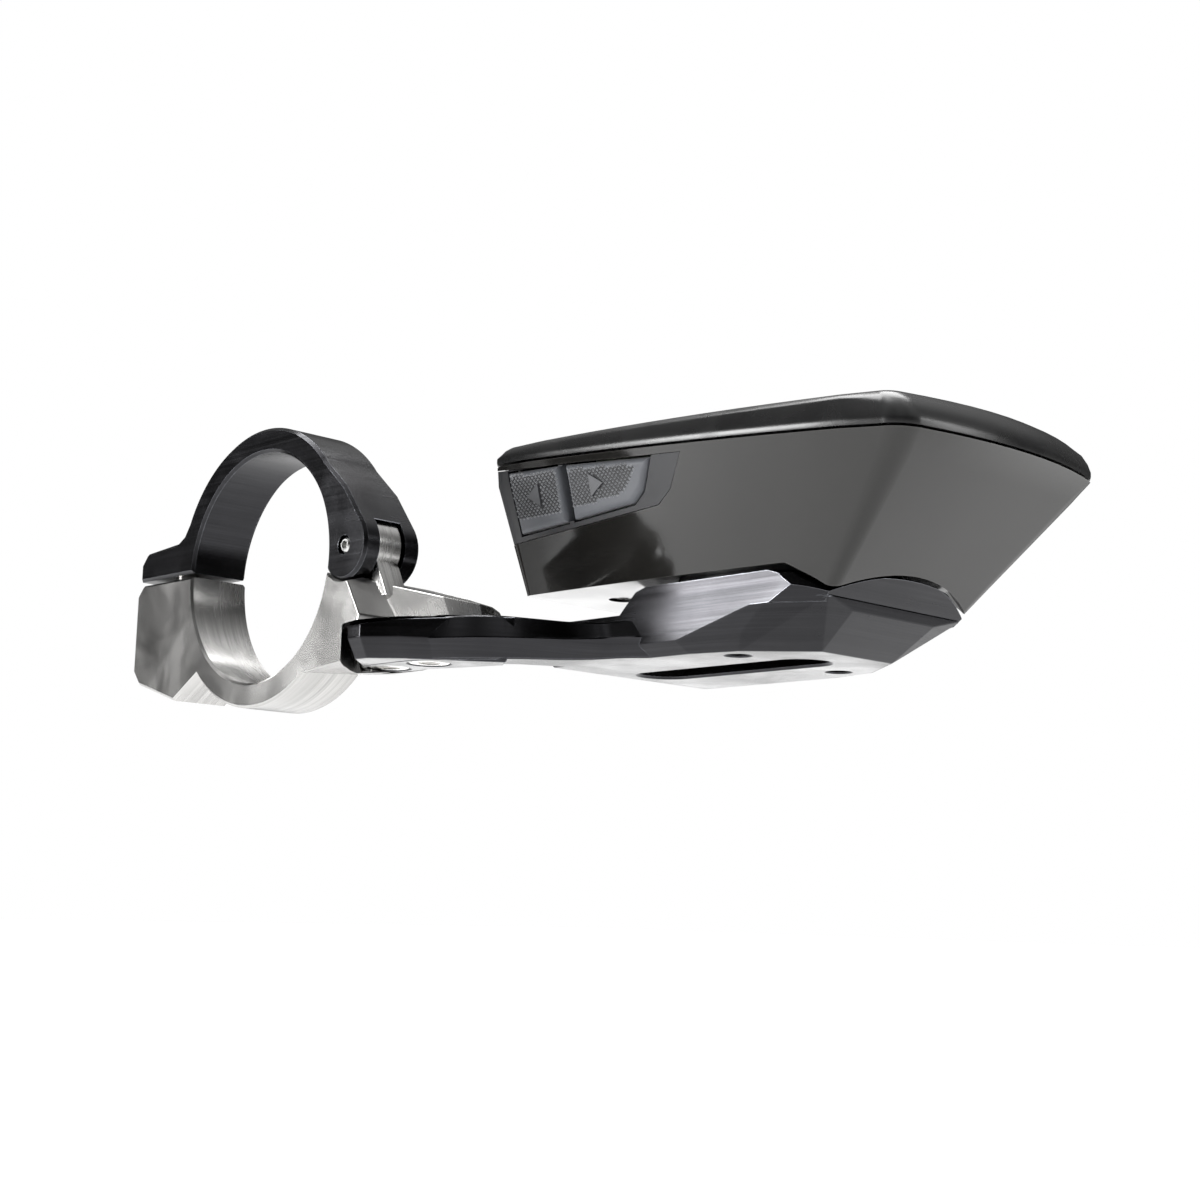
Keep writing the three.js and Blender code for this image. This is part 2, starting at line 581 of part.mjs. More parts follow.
function clampBase() {
  const half = CLAMP_HALF;
  const ring = roundY(0, 0, -half, half, RING_R, 64).intersect(box(-25, 25, -half, half, -25, SPLIT.base));
  const rearEar = prismY([
    [-4, -19.1], [-19, -17.2], [-28.6, -14.3], [-30.2, -12.4], [-30.2, -1.2], [-28.8, SPLIT.base],
    [-15, SPLIT.base], [-10, -10],
  ], -half, half);
  const block = hull([
    [12, -half, -15.2], [21.5, -half, -14.4], [22.5, -half, -7.6], [19.8, -half, -2.4], [14, -half, -1.4],
    [12, 12.5, -13.4], [14, 12.5, -2.2], [19.6, 12.5, -2.4], [22, 15.5, -4], [24.5, 17.6, -5.6],
    [25.6, -0.6, -6.2], [30.2, 5, -5.8], [31.2, 8, -5.9], [30.8, 12, -6.8],
    [28.2, 0.2, -9.9], [31.8, 5.5, -9.9], [31.6, 11, -9.9], [27, 18, -8], [21, 17, -10],
    [26.5, -1.2, -14.2], [30, 4, -14.2], [30, 9, -14], [24, 13, -13.6],
  ]);
  const lug = hull([
    ...[-60, -20, 20, 60, 100, 140].flatMap((deg) => {
      const angle = THREE.MathUtils.degToRad(deg);
      const x = PIN.x + LUG.r * Math.cos(angle);
      const z = PIN.z + LUG.r * Math.sin(angle);
      return [[x, LUG.y0, z], [x, LUG.y1, z]];
    }),
    [15, LUG.y0, -6], [15, LUG.y1, -6], [24.5, LUG.y0, -6], [24.5, LUG.y1, -6],
  ]);
  const earRoom = (y0, y1) => roundY(PIN.x, PIN.z, y0, y1, EAR_R + GAP, 40);
  let body = union(ring, rearEar, block);
  body = body.subtract(earRoom(-10, LUG.y0 + 0.01)).subtract(earRoom(LUG.y1 - 0.01, half + GAP));
  body = body.subtract(box(14, 30, -10, half + GAP, -1.2, 20)).add(lug);
  body = body.subtract(roundY(PIN.x, PIN.z, -10, 10, PIN.r + GAP, 20)).subtract(bar(BAR_R));
  body = body.subtract(roundZ(BOLT.x, 0, -20, 5, BOLT.r + 0.35, BOLT.r + 0.35, 24));
  body = body.subtract(roundZ(BOLT.x, 0, -20, BOLT.headTop + GAP, BOLT.headR + 0.4, BOLT.headR + 0.4, 28));
  body = body.subtract(armRoot(GAP)).subtract(armBody(GAP)).subtract(flankRoom());
  for (const [x, y] of ROOT_SCREWS) {
    body = body.subtract(roundZ(x, y, -16, -5.9, 1.7, 1.7, 20));
  }
  return body;
}

function clampBand() {
  const half = CLAMP_HALF;
  const ring = roundY(0, 0, -half, half, RING_R, 64).intersect(box(-25, 30, -half, half, SPLIT.band, 25));
  const rearEar = prismY([
    [-29.6, SPLIT.band], [-29.6, 3.4], [-28.2, 5.0], [-19.5, 5.6], [-16.5, 9.6], [-14, 9], [-14, SPLIT.band],
  ], -half, half);
  const knuckle = roundY(PIN.x, PIN.z, -half, half, EAR_R, 40);
  const shoulder = prismY([[14.5, 12.7], [19.2, 8.6], [22.6, 4.1], [23.6, 2.6], [16, SPLIT.band]], -half, half);
  let body = union(ring, rearEar, knuckle, shoulder);
  body = body.subtract(roundY(PIN.x, PIN.z, LUG.y0 - GAP, LUG.y1 + GAP, LUG.r + 0.45, 40));
  body = body.subtract(box(PIN.x - 8, 30, LUG.y0 - GAP, LUG.y1 + GAP, -8, SPLIT.band));
  body = body.subtract(roundY(PIN.x, PIN.z, -10, 10, PIN.r + GAP, 20)).subtract(bar(BAR_R));
  return body.subtract(roundZ(BOLT.x, 0, -5, 20, BOLT.r + 0.4, BOLT.r + 0.4, 24));
}

function hingePin() {
  const end = CLAMP_HALF - 0.1;
  const hollow = roundY(PIN.x, PIN.z, -end - 1, -end + 0.8, PIN.r * 0.55, 12);
  return roundY(PIN.x, PIN.z, -end, end, PIN.r, 20).subtract(hollow);
}

function clampBolt() {
  const head = roundZ(BOLT.x, 0, BOLT.headBottom, BOLT.headTop, BOLT.headR, BOLT.headR, 32);
  const socket = roundZ(BOLT.x, 0, BOLT.headBottom - 1, BOLT.headBottom + 2, 1.5, 1.5, 6);
  const shank = roundZ(BOLT.x, 0, BOLT.headTop - 0.2, 2.4, BOLT.r, BOLT.r, 24);
  const point = roundZ(BOLT.x, 0, 2.3, BOLT.tip, BOLT.r, 1.3, 24);
  return head.subtract(socket).add(shank).add(point);
}

// ---------------------------------------------------------------- assembly

addNode(head, 'lower_casing', 'gloss', lowerCasing());
addNode(head, 'top_cover', 'satin', topCover());
const lensOutline = roundedRectangle(LENS.x0, LENS.x1, -LENS.half, LENS.half, 2);
addNode(head, 'screen_lens', 'glass', underTop(lensOutline, 0.1, 0.1 + LENS.thick));
addNode(head, 'display_panel', 'display', underTop(roundedRectangle(-20, 27, -17.6, 17.6, 1), 1.6, 3.6));
addNode(head, 'light_pipe', 'diffuser', underTop(roundedRectangle(27.9, 29.5, -10.7, 10.7, 0.75), 0.05, 3.0));
addNode(head, 'cover_seal', 'rubber', coverSeal());
addNode(head, 'circuit_board', 'board', circuitBoard());
addNode(head, 'battery_cell', 'cell', prismZ(roundedRectangle(-20.5, 12, -14.5, 14.5, 1.5), 2.6, 7.4));
addNode(head, 'antenna_patch', 'ceramic', prismZ(roundedRectangle(10, 21, -5.5, 5.5, 0.6), 9.3, 11.4));
addNode(head, 'buzzer', 'polymer', roundZ(-10, 9, 9.3, 11.8, 4.2, 4.2, 28));
addNode(head, 'key_switch_left', 'steel', keySwitch(KEY_Y));
addNode(head, 'key_switch_centre', 'steel', keySwitch(0));
addNode(head, 'key_switch_right', 'steel', keySwitch(-KEY_Y));
addNode(head, 'usb_socket', 'steel', box(-31.6, -26.5, -3.8, 3.8, 4.6, 7.4));
POSTS.forEach((post, i) => addNode(head, `casing_screw_${i + 1}`, 'steel', casingScrew(post)));
addNode(head, 'side_key_panel', 'rubber', sideKeyPanel());
addNode(head, 'side_key_rear', 'rubber', sideKey(REAR_KEY));
addNode(head, 'side_key_front', 'rubber', sideKey(FRONT_KEY));
addNode(head, 'power_key', 'rubber', onLeft(POWER_KEY, -2.5, 0.4));
addNode(head, 'top_key_left', 'rubber', topKey(KEY_Y));
addNode(head, 'top_key_centre', 'rubber', topKey(0));
addNode(head, 'top_key_right', 'rubber', topKey(-KEY_Y));
addNode(head, 'usb_flap', 'rubber', usbFlap());
addNode(head, 'bayonet_plate', 'polymer', bayonetPlate());
[-5, 5].forEach((x, i) => addNode(head, `bayonet_screw_${i + 1}`, 'steel',
  roundZ(x, 0, -2.2, -1.5, 1.7, 1.7, 20).subtract(roundZ(x, 0, -3, -1.9, 0.7, 0.7, 6)).add(roundZ(x, 0, -1.6, 0.05, 0.8, 0.8, 16))));

addNode(head, 'bayonet_insert', 'polymer', bayonetInsert());
addNode(head, 'insert_screw_left', 'steel', insertScrew(INSERT_SCREW_Y));
addNode(head, 'insert_screw_right', 'steel', insertScrew(-INSERT_SCREW_Y));
addNode(object, 'mount_arm', 'anodised', mountArm());
ROOT_SCREWS.forEach((place, i) => addNode(object, `arm_screw_${i + 1}`, 'steel', armScrew(place)));
addNode(object, 'clamp_base', 'machined', clampBase());
addNode(object, 'clamp_band', 'anodised', clampBand());
addNode(object, 'hinge_pin', 'steel', hingePin());
addNode(object, 'clamp_bolt', 'steel', clampBolt());

export default object;
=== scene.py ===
# %% [markdown]
# # A cycling computer on its out-front mount
#
# The model has two halves. The frame is a set of plain, exact solids that say where every part
# is and how it moves. This file gives those parts their looks: soft moulded edges, machined
# facets, knurled rubber, brushed and anodised metal.
#
# Everything is in metres, because the frame is, but a part this small is easier to think about
# in millimetres, so sizes are written as a number times MM.

# %% Load the frame
import json
import math

import bmesh
import bpy
from mathutils import Matrix, Vector
from mathutils.bvhtree import BVHTree


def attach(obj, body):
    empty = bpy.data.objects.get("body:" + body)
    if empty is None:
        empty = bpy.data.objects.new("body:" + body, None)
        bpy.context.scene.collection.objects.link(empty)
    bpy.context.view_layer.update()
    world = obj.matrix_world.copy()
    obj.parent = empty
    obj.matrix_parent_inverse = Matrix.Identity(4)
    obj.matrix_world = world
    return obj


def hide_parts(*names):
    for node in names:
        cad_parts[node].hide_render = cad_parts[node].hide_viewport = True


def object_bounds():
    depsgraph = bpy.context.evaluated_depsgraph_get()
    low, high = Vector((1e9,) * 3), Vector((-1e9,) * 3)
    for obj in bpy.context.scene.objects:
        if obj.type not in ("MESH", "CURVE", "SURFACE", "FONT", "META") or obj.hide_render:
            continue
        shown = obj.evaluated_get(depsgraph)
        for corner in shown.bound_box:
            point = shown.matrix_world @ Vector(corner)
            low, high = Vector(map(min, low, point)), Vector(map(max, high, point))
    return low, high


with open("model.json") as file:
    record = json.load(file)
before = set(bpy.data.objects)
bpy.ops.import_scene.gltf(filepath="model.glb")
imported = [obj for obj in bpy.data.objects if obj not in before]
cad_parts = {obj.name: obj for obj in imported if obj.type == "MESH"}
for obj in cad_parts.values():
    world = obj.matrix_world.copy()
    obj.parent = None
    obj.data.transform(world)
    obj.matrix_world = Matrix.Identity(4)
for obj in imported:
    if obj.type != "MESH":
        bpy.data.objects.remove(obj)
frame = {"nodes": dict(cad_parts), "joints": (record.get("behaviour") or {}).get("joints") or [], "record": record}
cad_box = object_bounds()
MM = 0.001
print("size in mm:", [round((b - a) / MM, 1) for a, b in zip(*cad_box)])

# %% [markdown]
# ## Camera
#
# The view is from the front right and a little below, close to the object, which is why the
# computer's nose looks so large beside the clamp. A camera can be turned by three angles, but
# those are hard to read. Here it is built from an azimuth and an elevation about the object,
# with a small roll, and then its place.

# %% Camera
AZIMUTH = math.radians(45.5)
ELEVATION = math.radians(-9.1)
ROLL = math.radians(1.4)
CAMERA_PLACE = Vector((218, -153, -45)) * MM

camera = bpy.data.objects.new("camera", bpy.data.cameras.new("camera"))
bpy.context.scene.collection.objects.link(camera)
bpy.context.scene.camera = camera
back = Vector((
    math.sin(AZIMUTH) * math.cos(ELEVATION),
    -math.cos(AZIMUTH) * math.cos(ELEVATION),
    math.sin(ELEVATION),
))
turn = (-back).to_track_quat("-Z", "Y").to_matrix().to_4x4() @ Matrix.Rotation(ROLL, 4, "Z")
camera.matrix_world = Matrix.Translation(CAMERA_PLACE) @ turn
camera.data.sensor_width = 36
camera.data.lens = 58
camera.data.clip_start = 0.005
camera.data.clip_end = 20
print("camera looks along", [round(x, 2) for x in -back])

# %% [markdown]
# ## Floor, light and surroundings
#
# Dark glossy parts have almost no colour of their own: what shows on them is the room. The
# surroundings are therefore planned, as a studio is with white and black card. The floor is
# white, and the undersides mirror it. Round the sides the room is dark, with softer and brighter
# patches in it, and a metal face that turns through them shows them as streaks. Four soft lamps
# do the rest: one over the top, one low on the near side for the brushed face of the mount, a
# small one low on the far side that its flat underside mirrors, and one in front for the nose.

# %% Colour
bpy.context.scene.view_settings.view_transform = "Standard"
print("colours are shown as they are:", bpy.context.scene.view_settings.view_transform)

# %% Floor
FLOOR_DROP = 110 * MM
FLOOR_REACH = 6
FLOOR_GLOW = 0.16
BACKDROP_GLOW = 1.2

floor_mesh = bpy.data.meshes.new("floor")
floor_bm = bmesh.new()
bmesh.ops.create_grid(floor_bm, x_segments=1, y_segments=1, size=FLOOR_REACH)
floor_bm.to_mesh(floor_mesh)
floor_bm.free()
floor = bpy.data.objects.new("floor", floor_mesh)
floor.location.z = cad_box[0].z - FLOOR_DROP
bpy.context.scene.collection.objects.link(floor)

pale = bpy.data.materials.new("pale_floor")
pale.use_nodes = True
paint = pale.node_tree.nodes["Principled BSDF"].inputs
paint["Base Color"].default_value = (0.9, 0.9, 0.9, 1)
paint["Roughness"].default_value = 0.9
paint["Emission Color"].default_value = (1, 1, 1, 1)
glow = pale.node_tree.nodes.new("ShaderNodeMapRange")
glow.inputs["To Min"].default_value = FLOOR_GLOW
glow.inputs["To Max"].default_value = BACKDROP_GLOW
watched = pale.node_tree.nodes.new("ShaderNodeLightPath")
pale.node_tree.links.new(watched.outputs["Is Camera Ray"], glow.inputs["Value"])
pale.node_tree.links.new(glow.outputs["Result"], paint["Emission Strength"])
floor_mesh.materials.append(pale)
print("floor is", round(FLOOR_DROP / MM), "mm under the object")

# %% Surroundings
world = bpy.data.worlds.new("studio")
bpy.context.scene.world = world
world.use_nodes = True
sky = world.node_tree


def sky_node(kind, **values):
    node = sky.nodes.new(kind)
    for key, value in values.items():
        setattr(node, key, value)
    return node


def ramp_of(value, stops):
    """Grey levels at places from 0 to 1 along a value."""
    ramp = sky_node("ShaderNodeValToRGB")
    ramp.color_ramp.elements.remove(ramp.color_ramp.elements[1])
    ramp.color_ramp.elements[0].position = stops[0][0]
    ramp.color_ramp.elements[0].color = (stops[0][1],) * 3 + (1,)
    for position, level in stops[1:]:
        ramp.color_ramp.elements.new(position).color = (level,) * 3 + (1,)
    sky.links.new(value, ramp.inputs["Fac"])
    return ramp.outputs["Color"]


def sky_math(how, a, b):
    node = sky_node("ShaderNodeMath", operation=how)
    for socket, value in zip(node.inputs, (a, b)):
        if isinstance(value, bpy.types.NodeSocket):
            sky.links.new(value, socket)
        else:
            socket.default_value = value
    return node.outputs[0]


place = sky_node("ShaderNodeTexCoord")
split = sky_node("ShaderNodeSeparateXYZ")
sky.links.new(place.outputs["Generated"], split.inputs[0])
height = sky_math("MULTIPLY_ADD", split.outputs["Z"], 0.5)
height.node.inputs[2].default_value = 0.5
round_about = sky_math("ARCTAN2", split.outputs["Y"], split.outputs["X"])
turn_fraction = sky_math("MULTIPLY_ADD", round_about, 0.5 / math.pi)
turn_fraction.node.inputs[2].default_value = 0.5
by_height = ramp_of(height, [(0.0, 1.0), (0.47, 0.6), (0.51, 0.10), (0.62, 0.06), (0.74, 0.12),
                             (0.85, 0.55), (1.0, 0.8)])
by_turn = ramp_of(turn_fraction, [
    (0.0, 0.5), (0.06, 0.35), (0.10, 0.9), (0.14, 0.25), (0.20, 1.5), (0.24, 0.3), (0.30, 0.25),
    (0.36, 1.2), (0.42, 0.4), (0.50, 1.6), (0.56, 1.1), (0.62, 0.5), (0.70, 1.4), (0.80, 0.8),
    (0.90, 0.9), (1.0, 0.5)])
patched = sky_node("ShaderNodeMix", data_type="RGBA", blend_type="MULTIPLY")
patched.inputs["Factor"].default_value = 1.0
sky.links.new(by_height, patched.inputs[6])
sky.links.new(by_turn, patched.inputs[7])
seen = sky_node("ShaderNodeLightPath")
choose = sky_node("ShaderNodeMix", data_type="RGBA")
choose.inputs[7].default_value = (1, 1, 1, 1)
sky.links.new(patched.outputs[2], choose.inputs[6])
sky.links.new(seen.outputs["Is Camera Ray"], choose.inputs["Factor"])
sky.links.new(choose.outputs[2], sky.nodes["Background"].inputs["Color"])
print("surroundings:", len(by_height.node.color_ramp.elements), "levels by height and",
      len(by_turn.node.color_ramp.elements), "round about")


# %% Soft lamps
def soft_lamp(name, place_mm, aim_mm, size_mm, watts):
    """A soft rectangular lamp that shines from one point towards another."""
    light = bpy.data.lights.new(name, "AREA")
    light.shape = "RECTANGLE"
    light.size, light.size_y = (s * MM for s in size_mm)
    light.energy = watts
    lamp = bpy.data.objects.new(name, light)
    lamp.location = Vector(place_mm) * MM
    lamp.rotation_mode = "QUATERNION"
    lamp.rotation_quaternion = (Vector(aim_mm) * MM - lamp.location).to_track_quat("-Z", "Y")
    lamp.visible_camera = False
    bpy.context.scene.collection.objects.link(lamp)
    return lamp


MIDDLE = (35, 25, 0)


def round_the_head(turn_degrees, rise_degrees, distance):
    """A place in millimetres, by its direction and distance from the mount's head."""
    turn_to, rise = math.radians(turn_degrees), math.radians(rise_degrees)
    flat_reach = distance * math.cos(rise)
    return (50 + flat_reach * math.cos(turn_to), 25 + flat_reach * math.sin(turn_to),
            -9 + distance * math.sin(rise))


soft_lamp("lamp_over", (-60, 60, 620), MIDDLE, (560, 420), 6.5)
soft_lamp("lamp_near_side", round_the_head(236.5, 6, 600), (50, 25, -9), (215, 170), 2.6)
soft_lamp("lamp_low", round_the_head(136, -7.4, 700), (50, 25, -9), (280, 48), 0.07)
soft_lamp("lamp_front", (640, 330, 150), MIDDLE, (120, 420), 1.6)

# %% [markdown]
# ## Tools for making solids
#
# A moulded or machined part can be drawn in three ways: as a loft through a few outlines, as the
# convex body round a set of corners, or as an outline drawn out straight. Holes and joins come
# from boolean cuts between such bodies. Subdividing a rough cage would also work, but it rounds
# the crisp edges that a milled part has. These tools work in millimetres, and each finished
# piece is scaled to metres once, at the end.

# %% Tools: bodies
def as_object(bm, name="work"):
    """Turns a bmesh into an object, with all its faces pointing outwards."""
    bmesh.ops.recalc_face_normals(bm, faces=bm.faces)
    mesh = bpy.data.meshes.new(name)
    bm.to_mesh(mesh)
    bm.free()
    made = bpy.data.objects.new(name, mesh)
    bpy.context.scene.collection.objects.link(made)
    return made


def loft(rings, rounding=0.0, from_angle=25):
    """A closed body through rings of points, each ring with as many points as the last."""
    bm = bmesh.new()
    rows = [[bm.verts.new(point) for point in ring] for ring in rings]
    count = len(rows[0])
    for low, high in zip(rows, rows[1:]):
        for i in range(count):
            j = (i + 1) % count
            bm.faces.new((low[i], low[j], high[j], high[i]))
    bm.faces.new(rows[0][::-1])
    bm.faces.new(rows[-1])
    return as_object(soften(bm, rounding, from_angle))


def convex(points, rounding=0.0, from_angle=12):
    """The convex body round a set of corners, with its flat facets left whole."""
    bm = bmesh.new()
    for point in points:
        bm.verts.new(point)
    hull = bmesh.ops.convex_hull(bm, input=bm.verts)
    inner = [v for v in hull["geom_interior"] if isinstance(v, bmesh.types.BMVert)]
    bmesh.ops.delete(bm, geom=inner, context="VERTS")
    bmesh.ops.dissolve_limit(bm, angle_limit=math.radians(2), verts=bm.verts, edges=bm.edges)
    return as_object(soften(bm, rounding, from_angle))


def soften(bm, width, from_angle):
    """Rounds every edge where two faces meet at more than an angle."""
    if width <= 0:
        return bm
    bmesh.ops.recalc_face_normals(bm, faces=bm.faces)
    corner = math.radians(from_angle)
    edges = [e for e in bm.edges if len(e.link_faces) == 2 and e.calc_face_angle() > corner]
    bmesh.ops.bevel(bm, geom=edges, offset=width, offset_type="OFFSET", segments=3,
                    profile=0.5, affect="EDGES", clamp_overlap=True)
    return bm


def drawn_out(outline, place, low, high, rounding=0.0):
    """An outline of (a, b) points drawn out between two heights. place says where they go."""
    return loft([[place(a, b, n) for a, b in outline] for n in (low, high)], rounding, 60)


def turned(profile, centre, along="Z", sides=48):
    """A body of revolution: (radius, height) points from its first end to its last."""
    rings = []
    for radius, height in profile:
        ring = []
        for i in range(sides):
            angle = 2 * math.pi * i / sides
            a, b = radius * math.cos(angle), radius * math.sin(angle)
            spot = Vector((a, b, height)) if along == "Z" else Vector((a, height, -b))
            ring.append(spot + Vector(centre))
        rings.append(ring)
    return loft(rings)


# %% Tools: cutting and joining
def combined(body, other, how):
    """body after a boolean with other, which is used up."""
    step = body.modifiers.new("combine", "BOOLEAN")
    step.solver = "EXACT"
    step.operation = how
    step.object = other
    graph = bpy.context.evaluated_depsgraph_get()
    result = bpy.data.meshes.new_from_object(body.evaluated_get(graph))
    body.modifiers.clear()
    used = [body.data, other.data]
    body.data = result
    bpy.data.objects.remove(other)
    for mesh in used:
        bpy.data.meshes.remove(mesh)
    return body


def cut(body, *cutters):
    for cutter in cutters:
        combined(body, cutter, "DIFFERENCE")
    return body


def join(body, *others):
    for other in others:
        combined(body, other, "UNION")
    return body


def moved(body, offset):
    body.data.transform(Matrix.Translation(offset))
    return body


# %% Tools: outlines
def rounded_rectangle(x0, x1, y0, y1, r, steps=6):
    corners = [(x0 + r, y0 + r, 180), (x1 - r, y0 + r, 270),
               (x1 - r, y1 - r, 0), (x0 + r, y1 - r, 90)]
    points = []
    for cx, cy, start in corners:
        for i in range(steps + 1):
            angle = math.radians(start + 90 * i / steps)
            points.append((cx + r * math.cos(angle), cy + r * math.sin(angle)))
    return points


def grown(outline, d):
    """An outline moved outwards by d, or inwards if d is negative: mitred at each corner."""
    area = sum(a[0] * b[1] - b[0] * a[1] for a, b in zip(outline, outline[1:] + outline[:1]))
    side = 1 if area > 0 else -1
    points = []
    for before, here, after in zip(outline[-1:] + outline[:-1], outline, outline[1:] + outline[:1]):
        into = (Vector(here) - Vector(before)).normalized()
        away = (Vector(after) - Vector(here)).normalized()
        n0, n1 = (Vector((e.y, -e.x)) * side for e in (into, away))
        mitre = (n0 + n1) / max((n0 + n1).length_squared / 2, 0.2)
        points.append(tuple(Vector(here) + mitre * d))
    return points


def flat(x, y, z):
    """Places an outline's points level, seen from above."""
    return Vector((x, y, z))


joints = {j["name"]: j for j in frame["joints"]}
TWIST = Vector(joints["computer_twist"]["pos_m"]) / MM
PIN = Vector(joints["band_open"]["pos_m"]) / MM
print("twist axis at", [round(x, 2) for x in TWIST], "and hinge pin at", [round(x, 2) for x in PIN])


# %% Tools: a finished piece
MATS = {}
SLIVER = 0.004


def finish_piece(body, name, rides_on, slot, stands_for=(), about=Vector(), crease=34, material=None):
    """Names a piece, scales it to metres, shades it, and puts it on its moving body.

    Its finish is the one named for its slot, unless another is given or it comes with its own.
    Cuts leave points that almost meet, with slivers between them that shade badly. They are merged.
    """
    bm = bmesh.new()
    bm.from_mesh(body.data)
    bmesh.ops.remove_doubles(bm, verts=bm.verts, dist=SLIVER)
    bmesh.ops.dissolve_degenerate(bm, edges=bm.edges, dist=SLIVER)
    bm.to_mesh(body.data)
    bm.free()
    body.data.transform(Matrix.Scale(MM, 4) @ Matrix.Translation(about))
    body.name = name
    body.data.name = name
    for face in body.data.polygons:
        face.use_smooth = True
    body.data.set_sharp_from_angle(angle=math.radians(crease))
    weighted = body.modifiers.new("even_shading", "WEIGHTED_NORMAL")
    weighted.keep_sharp = True
    if not any(body.data.materials):
        body.data.materials.clear()
        body.data.materials.append(material or MATS[slot])
    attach(body, rides_on)
    if stands_for:
        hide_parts(*stands_for)
    size = [round(x / MM, 1) for x in body.dimensions]
    print(f"{name}: {len(body.data.polygons)} faces, {size} mm")
    return body


# %% [markdown]
# ## Tools for finishes
#
# Every finish on this object is one of a few effects over a base colour: the faint grain of a
# moulding, the parallel lines of a milled or brushed face, thin worn edges, and smudges that
# change the gloss. Each effect is a node group, made once. A group gives out only masks and
# heights. The shader that uses them stays in the material, where its plain numbers are set.

# %% Tools: node groups
def new_group(name, inputs, outputs):
    """An empty shader group: inputs are (name, value) pairs and outputs are names."""
    group = bpy.data.node_groups.new(name, "ShaderNodeTree")
    for label, value in inputs:
        kind = "NodeSocketVector" if isinstance(value, tuple) else "NodeSocketFloat"
        socket = group.interface.new_socket(label, in_out="INPUT", socket_type=kind)
        socket.default_value = value
    for label in outputs:
        group.interface.new_socket(label, in_out="OUTPUT", socket_type="NodeSocketFloat")
    return group, group.nodes.new("NodeGroupInput").outputs, group.nodes.new("NodeGroupOutput").inputs


def add(tree, kind, values=None, **settings):
    """A node with its settings. A value that is a socket is linked, any other is set."""
    node = tree.nodes.new(kind)
    for key, value in settings.items():
        setattr(node, key, value)
    for key, value in (values or {}).items():
        if isinstance(value, bpy.types.NodeSocket):
            tree.links.new(value, node.inputs[key])
        else:
            node.inputs[key].default_value = value
    return node


def in_millimetres(tree, stretch=(1, 1, 1)):
    """Where a point of the piece is, in millimetres, so that sizes in a finish are real sizes."""
    spot = add(tree, "ShaderNodeTexCoord")
    return add(tree, "ShaderNodeMapping", {"Vector": spot.outputs["Object"],
                                           "Scale": [s / MM for s in stretch]}).outputs["Vector"]


def noise(tree, where, scale, detail=2.0):
    values = {"Vector": where, "Scale": scale, "Detail": detail}
    return add(tree, "ShaderNodeTexNoise", values).outputs["Fac"]


def math_node(tree, how, a, b, clamp=False):
    return add(tree, "ShaderNodeMath", {0: a, 1: b}, operation=how, use_clamp=clamp).outputs[0]


def spread(tree, value, low, high, to_low=0.0, to_high=1.0):
    """A value taken from one range to another, and held at the ends."""
    node = add(tree, "ShaderNodeMapRange", {"Value": value, "From Min": low, "From Max": high,
                                            "To Min": to_low, "To Max": to_high})
    return node.outputs["Result"]


# %% Grain: the fine pebble of a mould
grain, given, taken = new_group("fine_grain", [("Size", 0.15)], ["Height", "Tone"])
fineness = math_node(grain, "DIVIDE", 1.0, given["Size"])
pebbles = add(grain, "ShaderNodeTexVoronoi", {"Vector": in_millimetres(grain), "Scale": fineness},
              feature="SMOOTH_F1")
grain.links.new(pebbles.outputs["Distance"], taken["Height"])
clouds = noise(grain, in_millimetres(grain), 0.12, 3)
grain.links.new(spread(grain, clouds, 0.35, 0.65), taken["Tone"])

# %% Lines: the marks of a cutter or a brush
lines, given, taken = new_group("tool_lines", [("Stretch", (0.05, 0.05, 6.0))], ["Height", "Streak"])
spot = add(lines, "ShaderNodeTexCoord").outputs["Object"]
metric = add(lines, "ShaderNodeVectorMath", {0: spot, 1: (1 / MM, 1 / MM, 1 / MM)},
             operation="MULTIPLY").outputs[0]
stretched = add(lines, "ShaderNodeVectorMath", {0: metric, 1: given["Stretch"]},
                operation="MULTIPLY").outputs[0]
fine = noise(lines, stretched, 1.0, 3)
broad = noise(lines, stretched, 0.22, 2)
lines.links.new(fine, taken["Height"])
lines.links.new(spread(lines, math_node(lines, "ADD", fine, broad), 0.75, 1.25), taken["Streak"])

# %% Edges: where handling has thinned the finish
edges, given, taken = new_group("worn_edges", [("Width", 0.2), ("Patchiness", 0.5)], ["Mask"])
width = math_node(edges, "MULTIPLY", given["Width"], MM)
rounded = add(edges, "ShaderNodeBevel", {"Radius": width}, samples=4)
geometry = add(edges, "ShaderNodeNewGeometry")
facing = add(edges, "ShaderNodeVectorMath", {0: rounded.outputs[0], 1: geometry.outputs["Normal"]},
             operation="DOT_PRODUCT").outputs["Value"]
edge = spread(edges, facing, 0.985, 0.88)
patches = spread(edges, noise(edges, in_millimetres(edges), 0.5, 4), 0.35, 0.62)
kept_patches = math_node(edges, "MULTIPLY", patches, given["Patchiness"])
worn = math_node(edges, "MULTIPLY", edge, math_node(edges, "SUBTRACT", 1.0, kept_patches, True), True)
edges.links.new(worn, taken["Mask"])

# %% Smudges: handling marks that only change the gloss
smudges, given, taken = new_group("smudges", [("Size", 9.0)], ["Mask"])
coarseness = math_node(smudges, "DIVIDE", 1.0, given["Size"])
blurs = add(smudges, "ShaderNodeTexNoise", {"Vector": in_millimetres(smudges), "Scale": coarseness,
                                            "Detail": 4.0, "Distortion": 0.6}).outputs["Fac"]
smudges.links.new(spread(smudges, blurs, 0.38, 0.62), taken["Mask"])
print("node groups:", [g.name for g in (grain, lines, edges, smudges)])


# %% Tools: a finish
def place_group(tree, group, **values):
    node = tree.nodes.new("ShaderNodeGroup")
    node.node_tree = group
    for label, value in values.items():
        node.inputs[label].default_value = value
    return node.outputs


